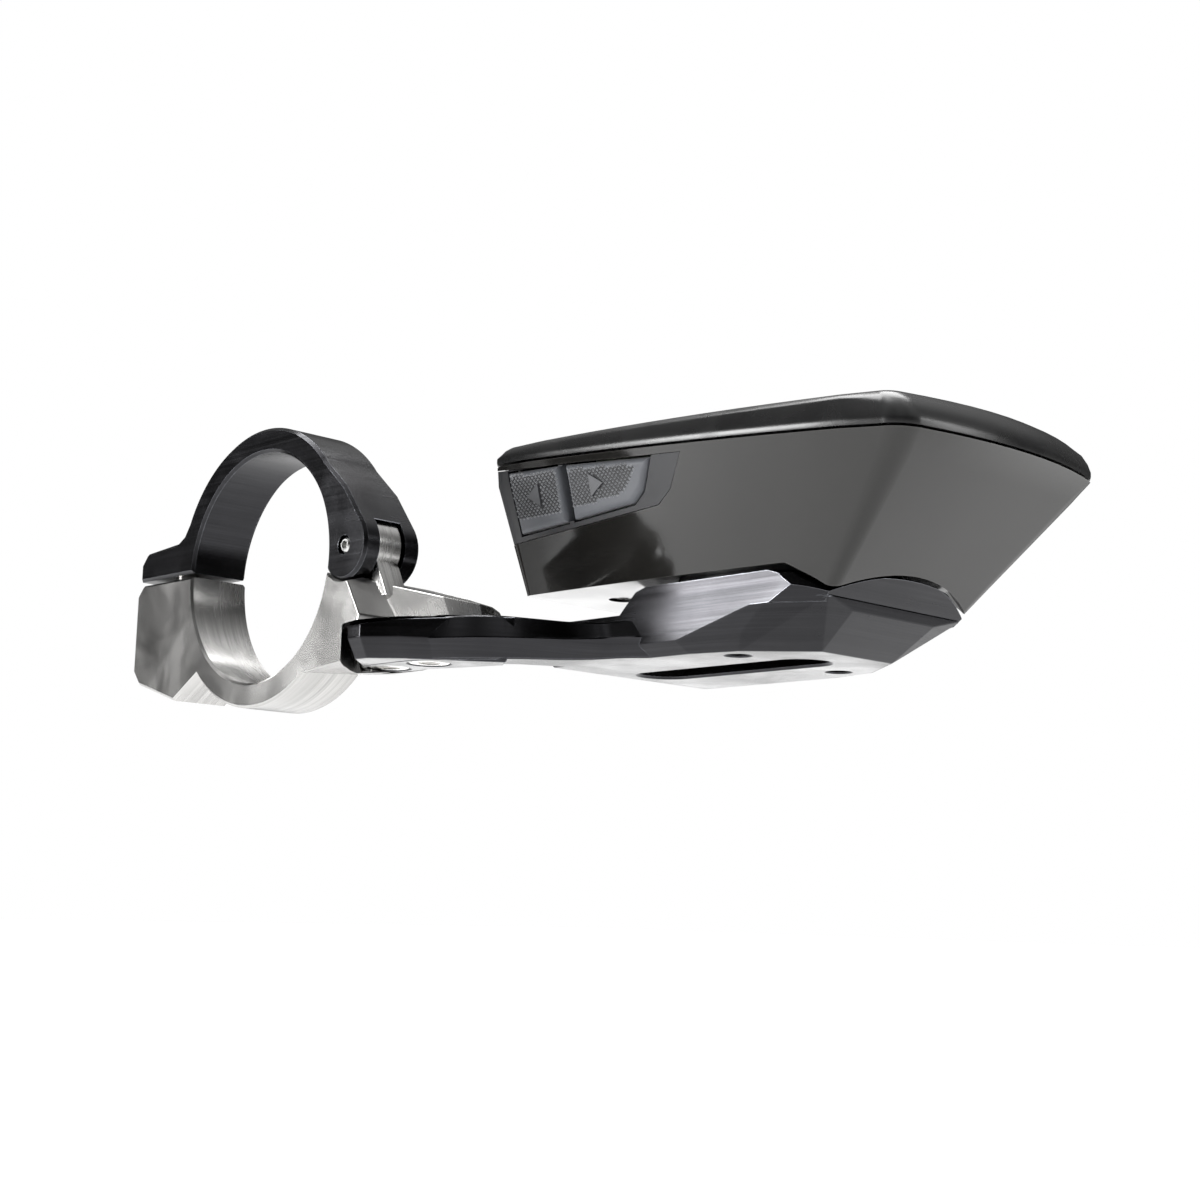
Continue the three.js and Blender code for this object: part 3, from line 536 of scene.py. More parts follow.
def blend_colour(tree, amount, first, second):
    """A mix of two colours. Either may be a socket or three numbers."""
    node = add(tree, "ShaderNodeMix", data_type="RGBA")
    for key, value in (("Factor", amount), ("A", first), ("B", second)):
        socket = next(s for s in node.inputs if s.name == key and (s.type == "RGBA") == (key != "Factor"))
        if isinstance(value, bpy.types.NodeSocket):
            tree.links.new(value, socket)
        else:
            socket.default_value = value if key == "Factor" else (*value, 1)
    return next(s for s in node.outputs if s.type == "RGBA")


def finish(name, colour, gloss, metal=0.0, grain_size=0.15, grain_depth=0.004, line_stretch=None,
           line_depth=0.003, line_tone=0.0, worn=None, worn_width=0.16, patchiness=0.5, **plain):
    """A material: gloss is the (lowest, highest) roughness, plain the shader's own numbers."""
    made = bpy.data.materials.new(name)
    made.use_nodes = True
    tree = made.node_tree
    shader = tree.nodes["Principled BSDF"]
    shader.inputs["Metallic"].default_value = metal
    for label, value in plain.items():
        shader.inputs[label.replace("_", " ").title().replace("Ior", "IOR")].default_value = value
    skin = place_group(tree, grain, Size=grain_size)
    marks = place_group(tree, smudges)
    lighter = tuple(min(1, c * 1.16) for c in colour)
    tone = blend_colour(tree, skin["Tone"], colour, lighter)
    rough = spread(tree, marks["Mask"], 0, 1, *gloss)
    height = math_node(tree, "MULTIPLY", skin["Height"], grain_depth)
    if line_stretch:
        cuts = place_group(tree, lines, Stretch=line_stretch)
        darker = tuple(c * (1 - line_tone) for c in colour)
        tone = blend_colour(tree, cuts["Streak"], darker, tone)
        rough = math_node(tree, "ADD", rough, spread(tree, cuts["Streak"], 0, 1, 0.05, -0.03))
        height = math_node(tree, "ADD", height, math_node(tree, "MULTIPLY", cuts["Height"], line_depth))
    if worn:
        thin = place_group(tree, edges, Width=worn_width, Patchiness=patchiness)
        tone = blend_colour(tree, thin["Mask"], tone, worn)
    bump = add(tree, "ShaderNodeBump", {"Height": height, "Distance": MM, "Strength": 1.0})
    tree.links.new(tone, shader.inputs["Base Color"])
    tree.links.new(rough, shader.inputs["Roughness"])
    tree.links.new(bump.outputs["Normal"], shader.inputs["Normal"])
    MATS[name] = made
    print("finish:", name)
    return made


# %% [markdown]
# ## Mouldings
#
# The lower casing is a warm dark grey with a gloss that still blurs what it mirrors. The cover
# is nearly black and satin. Both are hard polymer, so neither is metal, and their colour shows
# only where no light is mirrored. The rubber is greyer, bluer and much duller.

# %% Casing, cover and rubber
finish("casing_gloss", (0.0125, 0.012, 0.011), (0.07, 0.11), grain_size=0.4,
       grain_depth=0.0012, worn=(0.05, 0.048, 0.046), worn_width=0.2)
finish("cover_satin", (0.009, 0.009, 0.0092), (0.24, 0.32), grain_size=0.12,
       grain_depth=0.003)
finish("key_rubber", (0.105, 0.110, 0.122), (0.52, 0.62), grain_size=0.1,
       grain_depth=0.006, worn=(0.20, 0.21, 0.23), worn_width=0.12,
       sheen_weight=0.2, sheen_roughness=0.4)
# A lighter copy of the key rubber for the grip diamonds: a painted highlight on their raised tips.
finish("rubber_painted_stud_highlight", (0.23, 0.235, 0.245), (0.42, 0.52), grain_size=0.1,
       grain_depth=0.004, worn=(0.36, 0.37, 0.39), worn_width=0.1)
# A near-black copy of the key rubber for the skin between the diamonds: painted shade.
finish("rubber_painted_groove_shade", (0.018, 0.018, 0.020), (0.6, 0.7), grain_size=0.1,
       grain_depth=0.006, worn=(0.03, 0.03, 0.033))
finish("arrow_rubber", (0.075, 0.077, 0.083), (0.4, 0.5), grain_size=0.1,
       grain_depth=0.004, worn=(0.12, 0.12, 0.13), worn_width=0.1)
finish("surround_satin", (0.026, 0.0265, 0.029), (0.38, 0.46), grain_size=0.12,
       grain_depth=0.003, worn=(0.06, 0.06, 0.065), worn_width=0.12)
finish("seal_rubber", (0.030, 0.031, 0.034), (0.6, 0.72), grain_size=0.1,
       grain_depth=0.006, worn=(0.06, 0.06, 0.065), worn_width=0.12,
       sheen_weight=0.15, sheen_roughness=0.4)
finish("inner_polymer", (0.020, 0.020, 0.021), (0.5, 0.6), grain_size=0.2,
       grain_depth=0.006, worn=(0.05, 0.05, 0.05))
finish("bayonet_polymer", (0.028, 0.028, 0.030), (0.42, 0.55), grain_size=0.25,
       grain_depth=0.008, line_stretch=(0.6, 0.08, 0.6), line_depth=0.004,
       line_tone=0.25, worn=(0.10, 0.10, 0.10), worn_width=0.18)
finish("ceramic", (0.62, 0.58, 0.50), (0.35, 0.5), grain_size=0.08, grain_depth=0.003,
       worn=(0.75, 0.72, 0.66))

# %% [markdown]
# ## Metals
#
# Anodising leaves the metal's own reflection and tints it, so the black arm is a metal with a
# dark blue-grey colour, not a black paint: its edges catch light as cool streaks. The base is the
# same metal left clear. Both keep the parallel lines of the cutter, and those lines stretch a
# highlight along the face.

# %% Anodised metal and steel
finish("black_anodised", (0.034, 0.034, 0.0365), (0.17, 0.23), metal=1.0,
       grain_size=0.08, grain_depth=0.0015, line_stretch=(0.06, 0.06, 7.0),
       line_depth=0.0014, line_tone=0.14, worn=(0.30, 0.31, 0.34),
       worn_width=0.11, patchiness=0.6)
finish("clear_anodised", (0.46, 0.455, 0.445), (0.2, 0.27), metal=1.0,
       grain_size=0.1, grain_depth=0.0015, line_stretch=(0.05, 6.0, 0.05),
       line_depth=0.002, line_tone=0.22, worn=(0.62, 0.62, 0.61),
       worn_width=0.1, patchiness=0.0)
finish("screw_steel", (0.60, 0.59, 0.57), (0.14, 0.22), metal=1.0, grain_size=0.1,
       grain_depth=0.001, line_stretch=(0.2, 0.2, 9.0), line_depth=0.002,
       line_tone=0.15, worn=(0.85, 0.85, 0.84))
finish("steel", (0.56, 0.56, 0.55), (0.16, 0.26), metal=1.0, grain_size=0.1,
       grain_depth=0.001, line_stretch=(9.0, 0.2, 9.0), line_depth=0.002,
       line_tone=0.18, worn=(0.85, 0.85, 0.85))
finish("battery_foil", (0.58, 0.58, 0.60), (0.25, 0.42), metal=1.0, grain_size=2.6,
       grain_depth=0.05, worn=(0.8, 0.8, 0.82))

# %% [markdown]
# ## Screen, light strip and circuit board
#
# The window is glass: clear, with a faint haze of handling only in its roughness. Under it the
# display is a dull pale panel with thin dark rules between its fields. The light strip is milky.
# The board's green lacquer shows the copper tracks under it as slightly raised lines.

# %% Window and light strip
finish("lens_glass", (0.96, 0.98, 0.98), (0.02, 0.05), grain_size=0.3, grain_depth=0.0002,
       transmission_weight=1.0, ior=1.5)
finish("diffuser", (0.66, 0.68, 0.70), (0.4, 0.5), grain_size=0.1, grain_depth=0.003,
       worn=(0.8, 0.8, 0.82), transmission_weight=0.35)

# %% Display
FIELD_RULES = [(-4.6, 0), (5.6, 0), (0, 1)]
RULE_WIDTH = 0.22
display = finish("display", (0.33, 0.36, 0.30), (0.28, 0.36), grain_size=0.12, grain_depth=0.002)
tree = display.node_tree
axes = add(tree, "ShaderNodeSeparateXYZ", {0: in_millimetres(tree)}).outputs
rule = 0.0
for place_mm, axis in FIELD_RULES:
    centre = place_mm + TWIST[axis]
    away = math_node(tree, "ABSOLUTE", math_node(tree, "SUBTRACT", axes[axis], centre), 0)
    rule = math_node(tree, "ADD", rule, math_node(tree, "LESS_THAN", away, RULE_WIDTH), True)
shader = tree.nodes["Principled BSDF"]
panel_colour = shader.inputs["Base Color"].links[0].from_socket
tree.links.new(blend_colour(tree, rule, panel_colour, (0.02, 0.022, 0.02)), shader.inputs["Base Color"])
print("display:", len(FIELD_RULES), "rules between its fields")

# %% Circuit board
board = finish("board", (0.010, 0.075, 0.030), (0.22, 0.34), grain_size=0.2, grain_depth=0.002)
tree = board.node_tree
tracks = add(tree, "ShaderNodeTexBrick", {
    "Vector": in_millimetres(tree), "Scale": 0.8, "Mortar Size": 0.03,
    "Color1": (0, 0, 0, 1), "Color2": (0, 0, 0, 1), "Mortar": (1, 1, 1, 1)})
shader = tree.nodes["Principled BSDF"]
lacquer = shader.inputs["Base Color"].links[0].from_socket
over_copper = blend_colour(tree, tracks.outputs["Fac"], lacquer, (0.05, 0.20, 0.09))
tree.links.new(over_copper, shader.inputs["Base Color"])
bump = next(n for n in tree.nodes if n.type == "BUMP")
raised = math_node(tree, "MULTIPLY", tracks.outputs["Fac"], 0.02)
flat_height = bump.inputs["Height"].links[0].from_socket
tree.links.new(math_node(tree, "ADD", flat_height, raised), bump.inputs["Height"])
print(len(MATS), "finishes")

# %% [markdown]
# ## The casing's form
#
# The casing is a wedge: seen from above its sides bow out a little and its nose curves, and the
# whole plan shrinks towards the flat underside. It is drawn as one plan with a few sizes, taken
# at four levels. Each level's ring is dense, so that the light runs over it without steps.

# %% The plan at one level
CHIN = -6.2
BOTTOM = -2.6


def seam_level(x):
    return 12.82 - 0.0695 * x


def top_level(x):
    return 16.84 - 0.0407 * x


def nose_turn(half_front, front_r, bow):
    """The angle at which a corner's arc runs smoothly into the bowed nose."""
    turn = 0.0
    for _ in range(12):
        rise = bow + front_r * (1 - math.cos(turn))
        turn = math.atan(2 * rise / (half_front - front_r * (1 - math.sin(turn))))
    return turn


def plan_ring(plan, level_at, arc=9, side=11):
    """One ring of the computer's outline, counterclockwise from above."""
    rear, front, half_rear, half_mid, half_front, rear_r, front_r, bow = plan
    middle = (rear + front) / 2

    def half_at(x):
        t = (x - middle) / ((front - rear) / 2)
        swell = (half_front + half_rear) / 2 - half_mid
        return half_mid + (half_front - half_rear) / 2 * t + swell * t * t

    def corner(cx, cy, r, start, sweep=90.0):
        angles = [math.radians(start + sweep * i / arc) for i in range(arc + 1)]
        return [(cx + r * math.cos(a), cy + r * math.sin(a)) for a in angles]

    x0, x1 = rear + rear_r, front - front_r
    side_xs = [x0 + (x1 - x0) * (i + 1) / (side + 1) for i in range(side)]
    turn = nose_turn(half_front, front_r, bow)
    nose_x = x1 + front_r * math.cos(turn)
    nose_y = half_front - front_r * (1 - math.sin(turn))
    nose_bow = front + bow - nose_x
    nose_ys = [nose_y * (-0.8 + 1.6 * i / 8) for i in range(9)]
    tail_ys = [half_rear * (0.7 - 1.4 * i / 6) for i in range(7)]
    tail = 0.15
    left_over = 90 - math.degrees(turn)
    points = corner(x0, -(half_at(rear) - rear_r), rear_r, 180)
    points += [(x, -half_at(x)) for x in side_xs]
    points += corner(x1, -(half_front - front_r), front_r, 270, left_over)
    points += [(nose_x + nose_bow * (1 - (y / nose_y) ** 2), y) for y in nose_ys]
    points += corner(x1, half_front - front_r, front_r, math.degrees(turn), left_over)
    points += [(x, half_at(x)) for x in reversed(side_xs)]
    points += corner(x0, half_at(rear) - rear_r, rear_r, 90)
    points += [(rear - tail * (1 - (y / half_rear) ** 2), y) for y in tail_ys]
    return [Vector((x, y, level_at(x))) for x, y in points]


def inset(plan, d, rear=None):
    """The same plan, smaller all round by d."""
    made = (plan[0] + d, plan[1] - d, plan[2] - d, plan[3] - d, plan[4] - d,
            max(plan[5] - d, 0.8), max(plan[6] - d, 0.8), plan[7])
    return made if rear is None else (rear,) + made[1:]


# rear, front, half-width at the rear, in the middle and at the front, two corner radii, nose bow
SEAM_PLAN = (-37.1, 34.4, 22.4, 23.4, 20.8, 5.0, 4.0, 2.6)
CASING_LEVELS = [
    ((-31.9, 18.0, 17.1, 15.9, 14.1, 1.2, 1.6, 0.0), lambda x: CHIN),
    ((-32.8, 21.5, 18.0, 17.5, 15.5, 1.6, 2.0, 0.0), lambda x: BOTTOM),
    ((-36.6, 31.9, 21.8, 22.4, 19.8, 3.6, 3.2, 0.3), lambda x: seam_level(x) - 2.6),
    (SEAM_PLAN, seam_level),
]


def casing_block(d=0.0, more=0.0, side=11):
    """The casing's solid form, grown by d all round, and by more at its two ends."""
    lifts = [-more, 0, 0, more]
    return loft([plan_ring(inset(plan, -d), lambda x, at=at, lift=lift: at(x) + lift, 9, side)
                 for (plan, at), lift in zip(CASING_LEVELS, lifts)])


print("casing at the seam:", round(SEAM_PLAN[1] - SEAM_PLAN[0], 1), "mm long and",
      round(2 * SEAM_PLAN[3], 1), "mm wide")


# %% [markdown]
# The keys and hatches lie on leaning faces, so each face gets its own small frame: one direction
# along it, one up it and one straight out of it.

# %% Leaning faces
SIDE_LEAN = math.radians(15)
REAR_LEAN = math.radians(13.7)


def on_right(a, b, n):
    origin = Vector((0, -18.65, 0))
    up = Vector((0, -math.sin(SIDE_LEAN), math.cos(SIDE_LEAN)))
    out = Vector((0, -math.cos(SIDE_LEAN), -math.sin(SIDE_LEAN)))
    return origin + Vector((a, 0, 0)) + up * b + out * n


def on_left(a, b, n):
    p = on_right(-a, b, n)
    return Vector((p.x, -p.y, p.z))


def on_rear(a, b, n):
    origin = Vector((-33.44, 0, 0))
    up = Vector((-math.sin(REAR_LEAN), 0, math.cos(REAR_LEAN)))
    out = Vector((-math.cos(REAR_LEAN), 0, -math.sin(REAR_LEAN)))
    return origin + Vector((0, -a, 0)) + up * b + out * n


# %% Outlines on the leaning faces
def side_layer(outline, low, high, reach=3.2, side=11):
    """A layer of the right side between two depths. It follows the casing round its corner."""
    layer = drawn_out(outline, on_right, -reach, 4)
    combined(layer, casing_block(high, 0, side), "INTERSECT")
    return cut(layer, casing_block(low, 1, side))


KEY_PANEL = [(-39, 4.2), (-4.6, 6.5), (-2.1, 8.2), (0.9, 12.5), (-39, 15.2)]
REAR_KEY = [(-30.9, 5.7), (-21.3, 6.3), (-21.5, 13.9), (-31.8, 14.3)]
FRONT_KEY = [(-19.9, 6.4), (-8.6, 7.2), (-6.6, 8.6), (-4.4, 12.6), (-20.1, 13.8)]
POWER_KEY = rounded_rectangle(19, 28, 8.4, 11.6, 1.5)
FLAP = rounded_rectangle(-6.2, 6.2, 1.6, 7.6, 0.8)
FLAP_FOOT = rounded_rectangle(-6.5, 6.5, 0.9, 2.4, 0.3)
USB_HOLE = rounded_rectangle(-4.4, 4.4, 3.0, 7.0, 0.6)
GAP = 0.3
POSTS = [(-23.6, 7.5), (-23.6, -7.5)]
print("sides lean", round(math.degrees(SIDE_LEAN), 1), "and the rear", round(math.degrees(REAR_LEAN), 1),
      "degrees")

# %% [markdown]
# ## Lower casing
#
# On the real computer this is a glossy moulding about two millimetres thick. It is made the way
# its mould is: the outer form, less the inner form, less everything that leaves an opening. The
# nose is hollowed by a cone about the twist axis, so that it clears the mount as it turns.

# %% Lower casing
def pocket_radius(z):
    return 20.6 + 0.657 * (BOTTOM - z)


casing = casing_block()
hollow = loft([
    plan_ring((-31.9, 22.6, 17.3, 17.3, 15.2, 1.5, 1.5, 0.0), lambda x: 2.2),
    plan_ring((-35.2, 30.8, 20.5, 21.5, 18.9, 3.1, 2.1, 2.0), lambda x: seam_level(x) + 1),
])
cut(casing, hollow)
cut(casing, turned([(pocket_radius(-8), -8), (pocket_radius(BOTTOM), BOTTOM)], (0, 0, 0), sides=128))
cut(casing, drawn_out([(-40, -25), (11, -25), (11, 25), (-40, 25)], flat, -8, BOTTOM))
cut(casing, turned([(15.4, -4), (15.4, 0.4)], (0, 0, 0), sides=96))
for x, y in POSTS:
    cut(casing, turned([(2.1, -4), (2.1, -0.6), (1.2, -0.6), (1.2, 3)], (x, y, 0), sides=32))
cut(casing, side_layer(grown(KEY_PANEL, 0.1), -1.5, 3, 3.2 + GAP))
for outline in (REAR_KEY, FRONT_KEY):
    cut(casing, drawn_out(grown(outline, GAP), on_right, -6, 3))
cut(casing, drawn_out(grown(POWER_KEY, GAP), on_left, -6, 3))
cut(casing, drawn_out(grown(FLAP, GAP), on_rear, -1.7, 3), drawn_out(USB_HOLE, on_rear, -6, 3))
cut(casing, drawn_out(FLAP_FOOT, on_rear, -1.7, 3))
finish_piece(casing, "casing_shell", "computer", "casing_gloss", ["lower_casing"], TWIST, 26)

# %% [markdown]
# ## Cover
#
# The cover is a satin lid with a soft rounded tail and a nose that slopes down to a thin lip.

# %% Cover
NOSE_DROP = 1.5


def above_seam(d):
    return lambda x: seam_level(x) + d


def under_top(d, t):
    """A level under the top plane. Towards the nose it falls away, most at the rim (t = 0)."""
    def level(x):
        ahead = min(max((x - 27) / 6, 0), 1)
        eased = ahead * ahead * (3 - 2 * ahead)
        return top_level(x) - d - NOSE_DROP * eased * (1 - t) ** 2
    return level


def top_plan(d, rear, front, bow):
    """The plan of one ring near the top: smaller all round, with its own tail and nose."""
    plan = inset(SEAM_PLAN, d, rear)
    return (plan[0], front) + plan[2:7] + (bow,)


# %% Cover: the lid, hollowed and cut
cover = loft([
    plan_ring(SEAM_PLAN, above_seam(0.35)),
    plan_ring(inset(SEAM_PLAN, -0.1), above_seam(0.75)),
    plan_ring(inset(SEAM_PLAN, -0.1), above_seam(1.25)),
    plan_ring(top_plan(0.25, -36.5, 34.15, 2.6), under_top(1.25, 0)),
    plan_ring(top_plan(0.6, -36.0, 33.4, 2.7), under_top(0.75, 0.25)),
    plan_ring(top_plan(1.1, -35.2, 32.3, 2.9), under_top(0.35, 0.5)),
    plan_ring(top_plan(1.8, -34.0, 31.0, 3.1), under_top(0.08, 0.75)),
    plan_ring(top_plan(2.6, -32.6, 29.6, 3.2), top_level),
])
lid_hollow = loft([
    plan_ring(inset(SEAM_PLAN, 1.8)[:7] + (2.0,), above_seam(-3)),
    plan_ring(inset(SEAM_PLAN, 2.4)[:7] + (2.0,), under_top(1.35, 0)),
])
cut(cover, lid_hollow)
LENS = (-18.5, 25.5, 17.0)
LIGHT = (27.9, 29.5, 10.7)
KEY_X = -28.4
KEY_YS = (13.2, 0, -13.2)
holes = [
    rounded_rectangle(LENS[0] - GAP, LENS[1] + GAP, -LENS[2] - GAP, LENS[2] + GAP, 2.3, 8),
    rounded_rectangle(LIGHT[0] - GAP, LIGHT[1] + GAP, -LIGHT[2] - GAP, LIGHT[2] + GAP, 1.05),
] + [rounded_rectangle(KEY_X - 2.5, KEY_X + 2.5, y - 5.5, y + 5.5, 1.6) for y in KEY_YS]
for outline in holes:
    cut(cover, drawn_out(outline, flat, 0, 25))
for x, y in POSTS:
    join(cover, turned([(2, 2.9), (2, top_level(x) - 0.8)], (x, y, 0), sides=32))
    cut(cover, turned([(1.2, 0), (1.2, 9.5)], (x, y, 0), sides=24))
finish_piece(cover, "cover_shell", "computer", "cover_satin", ["top_cover"], TWIST, 40)

# %% [markdown]
# ## Side keys
#
# The two side keys and the pad round them are one family of soft rubber mouldings that follow
# the casing round its corner. Each key is a pillow with a wide rounded edge, a field of small
# raised diamonds for grip, and a smooth raised arrow. The diamonds are real geometry, because
# bump alone would leave the key's outline smooth when it is seen from the side. To set
# them on the curved key, a ray is dropped onto it at each place of a diagonal grid. The
# diamonds are coloured lighter than the key, a painted highlight, and a thin near-black skin
# between them is painted shade.

# %% Side keys
DIAMOND_PITCH = 0.74
DIAMOND_RISE = 0.3
DIAMOND_FILL = 0.93
ARROW_RISE = 0.3


def inside(outline, a, b):
    """True if a point lies inside an outline."""
    found = False
    for (x0, y0), (x1, y1) in zip(outline, outline[1:] + outline[:1]):
        if (y0 > b) != (y1 > b) and a < x0 + (b - y0) * (x1 - x0) / (y1 - y0):
            found = not found
    return found


def surface_finder(body):
    """A function that finds the height of a body's surface over a place on the right side."""
    tree = BVHTree.FromObject(body, bpy.context.evaluated_depsgraph_get())
    inward = on_right(0, 0, -1) - on_right(0, 0, 0)

    def height(a, b):
        hit = tree.ray_cast(on_right(a, b, 6), inward)
        return 6 - hit[3]
    return height


# %% Side keys: diamonds for grip, and a painted-shade skin between them
def diamonds(field, skip, height):
    """Small pyramids on a diagonal grid inside a field, but not inside skip."""
    bm = bmesh.new()
    half = DIAMOND_PITCH * 0.5
    xs = [a for a, _ in field]
    ys = [b for _, b in field]
    rows = int((max(ys) - min(ys)) / half) + 1
    columns = int((max(xs) - min(xs)) / DIAMOND_PITCH) + 1
    for row in range(rows):
        for column in range(columns):
            a = min(xs) + column * DIAMOND_PITCH + (row % 2) * half
            b = min(ys) + row * half
            if not inside(field, a, b) or inside(skip, a, b):
                continue
            n = height(a, b)
            reach = half * DIAMOND_FILL
            sides = [(a - reach, b), (a, b - reach), (a + reach, b), (a, b + reach)]
            base = [bm.verts.new(on_right(p, q, n - 0.12)) for p, q in sides]
            tip = bm.verts.new(on_right(a, b, n + DIAMOND_RISE))
            bm.faces.new(base)
            for i in range(4):
                bm.faces.new((base[i], base[(i + 1) % 4], tip))
    return as_object(bm)


def painted_shade_skin(field, height):
    """The ground between the diamonds: a thin skin just above the key, under the tips.

    Its near-black colour is painted shade.
    """
    bm = bmesh.new()
    xs = [a for a, _ in field]
    ys = [b for _, b in field]
    cell = DIAMOND_PITCH / 2
    rows = []
    for j in range(int((max(ys) - min(ys)) / cell) + 2):
        rows.append([(min(xs) + i * cell, min(ys) + j * cell)
                     for i in range(int((max(xs) - min(xs)) / cell) + 2)])
    made = {}
    for low, high in zip(rows, rows[1:]):
        for i in range(len(low) - 1):
            corners = [low[i], low[i + 1], high[i + 1], high[i]]
            if not all(inside(field, a, b) for a, b in corners):
                continue
            for spot in corners:
                if spot not in made:
                    made[spot] = bm.verts.new(on_right(*spot, height(*spot) + 0.03))
            bm.faces.new([made[spot] for spot in corners])
    bmesh.ops.solidify(bm, geom=bm.faces[:], thickness=0.06)
    return as_object(bm)


# %% Side keys: one key
def side_key(outline, points_to, arrow_at, field):
    """One side key with its field of diamonds and its arrow."""
    key = side_layer(outline, -2.5, 0.5, 6, 1)
    bm = bmesh.new()
    bm.from_mesh(key.data)
    bmesh.ops.dissolve_limit(bm, angle_limit=math.radians(4), verts=bm.verts, edges=bm.edges)
    rim = []
    skin = on_right(0, 0, 0)
    outward = on_right(0, 0, 1) - skin
    for edge in bm.edges:
        level = min((v.co - skin).dot(outward) for v in edge.verts)
        if level > 0 and len(edge.link_faces) == 2 and edge.calc_face_angle() > math.radians(50):
            rim.append(edge)
    bmesh.ops.bevel(bm, geom=rim, offset=0.85, offset_type="OFFSET", segments=5, profile=0.5,
                    affect="EDGES", clamp_overlap=False)
    bm.to_mesh(key.data)
    bm.free()
    height = surface_finder(key)
    a, b = arrow_at
    arrow = [(a + 1.35 * points_to, b), (a - 1.05 * points_to, b + 1.5), (a - 1.05 * points_to, b - 1.5)]
    top = height(a, b)
    mark = drawn_out(arrow, on_right, top - 0.4, top + ARROW_RISE)
    studs = diamonds(field, grown(arrow, 0.12), height)
    shade_skin = painted_shade_skin(field, height)
    # The diamonds get a lighter rubber, a painted highlight, and the skin between them a near-black one, painted
    # shade.
    for number, part in enumerate((key, mark, studs, shade_skin)):
        part.data.materials.clear()
        part.data.materials.append(KEY_FINISHES[number])
    bpy.ops.object.select_all(action="DESELECT")
    for part in (shade_skin, mark, studs, key):
        part.select_set(True)
    bpy.context.view_layer.objects.active = key
    bpy.ops.object.join()
    return key


# %% Side keys: the two keys and the pad round them
REAR_FIELD = [(-30.7, 7.5), (-21.8, 7.8), (-21.9, 13.5), (-31.4, 13.9)]
FRONT_FIELD = [(-19.5, 7.9), (-10.2, 8.6), (-8.4, 9.6), (-6.6, 12.2), (-19.7, 13.4)]
# The key, its arrow, the diamonds in a lighter rubber (painted highlight) and the skin between them in a
# near-black one (painted shade).
KEY_FINISHES = [MATS["key_rubber"], MATS["arrow_rubber"], MATS["rubber_painted_stud_highlight"], MATS["rubber_painted_groove_shade"]]
rear_key = side_key(REAR_KEY, -1, (-26.6, 10.6), REAR_FIELD)
finish_piece(rear_key, "rear_key_pad", "side_key_rear", "key_rubber", ["side_key_rear"], TWIST)
front_key = side_key(FRONT_KEY, 1, (-14.4, 10.6), FRONT_FIELD)
finish_piece(front_key, "front_key_pad", "side_key_front", "key_rubber", ["side_key_front"], TWIST)

DIVIDER = [(-21.6, 6.3), (-19.6, 6.4), (-19.8, 13.8), (-21.8, 13.9)]
panel = side_layer(KEY_PANEL, -1.2, -0.05)
cut(panel, drawn_out(DIVIDER, on_right, -0.75, 5))
for outline in (REAR_KEY, FRONT_KEY):
    cut(panel, drawn_out(grown(outline, GAP), on_right, -6, 5))
finish_piece(panel, "key_surround", "computer", "key_rubber", ["side_key_panel"], TWIST, 30,
             MATS["surround_satin"])

# %% [markdown]
# ## Keys on the other faces, and the hatch
#
# The power key, the three keys under the screen and the hatch over the charging socket are the
# same idea: an outline drawn out and rounded at its rim. A small ridge on each tells a gloved
# finger which key it is on.

# %% Power key and hatch
power_key = drawn_out(POWER_KEY, on_left, -2.5, 0.55, 0.25)
join(power_key, drawn_out(rounded_rectangle(22.2, 24.8, 9.7, 10.3, 0.28, 4), on_left, 0, 0.75, 0.08))
finish_piece(power_key, "power_key_cap", "power_key", "key_rubber", ["power_key"], TWIST)

hatch = drawn_out(FLAP, on_rear, -1.0, 0.05, 0.2)
join(hatch, drawn_out(rounded_rectangle(-3.1, 3.1, 3.7, 6.0, 0.5), on_rear, -2.0, -0.8))
cut(hatch, drawn_out(rounded_rectangle(-2.4, 2.4, 6.2, 6.9, 0.34), on_rear, -0.35, 2))
finish_piece(hatch, "charging_hatch", "flap", "seal_rubber", ["usb_flap"], TWIST)


# %% Keys under the screen
def along_top(x, y, n):
    return Vector((x, y, top_level(x) + n))


for name, y in zip(("left", "centre", "right"), KEY_YS):
    face = rounded_rectangle(KEY_X - 2.2, KEY_X + 2.2, y - 5.2, y + 5.2, 1.4)
    cap = drawn_out(face, along_top, -1.6, 0.45, 0.3)
    join(cap, drawn_out(rounded_rectangle(KEY_X - 0.35, KEY_X + 0.35, y - 1.6, y + 1.6, 0.3, 4),
                        along_top, 0, 0.68, 0.08))
    join(cap, turned([(1.2, 13.8), (1.2, 16.8)], (KEY_X, y, 0), sides=24))
    finish_piece(cap, f"screen_key_{name}", f"top_key_{name}", "key_rubber",
                 [f"top_key_{name}"], TWIST)

# %% [markdown]
# ## Screen
#
# A clear window is only convincing over something: a black printed border, then the display
# itself a little way below, then the window's own polished, bevelled edge.

# %% Window, border and light strip
pane = rounded_rectangle(LENS[0], LENS[1], -LENS[2], LENS[2], 2, 8)
window = drawn_out(pane, along_top, -1.1, 0.0, 0.22)
finish_piece(window, "screen_window", "computer", "lens_glass", ["screen_lens"], TWIST)

border = drawn_out(rounded_rectangle(-18.2, 25.2, -16.7, 16.7, 1.8, 8), along_top, -1.4, -1.2)
cut(border, drawn_out(rounded_rectangle(-15.6, 20.8, -13.9, 13.9, 0.5), along_top, -2, 0))
finish_piece(border, "screen_border", "computer", "inner_polymer", (), TWIST)

strip_face = rounded_rectangle(LIGHT[0], LIGHT[1], -LIGHT[2], LIGHT[2], 0.75, 8)
strip = drawn_out(strip_face, along_top, -2.8, 0.02, 0.12)
finish_piece(strip, "light_strip", "computer", "diffuser", ["light_pipe"], TWIST)

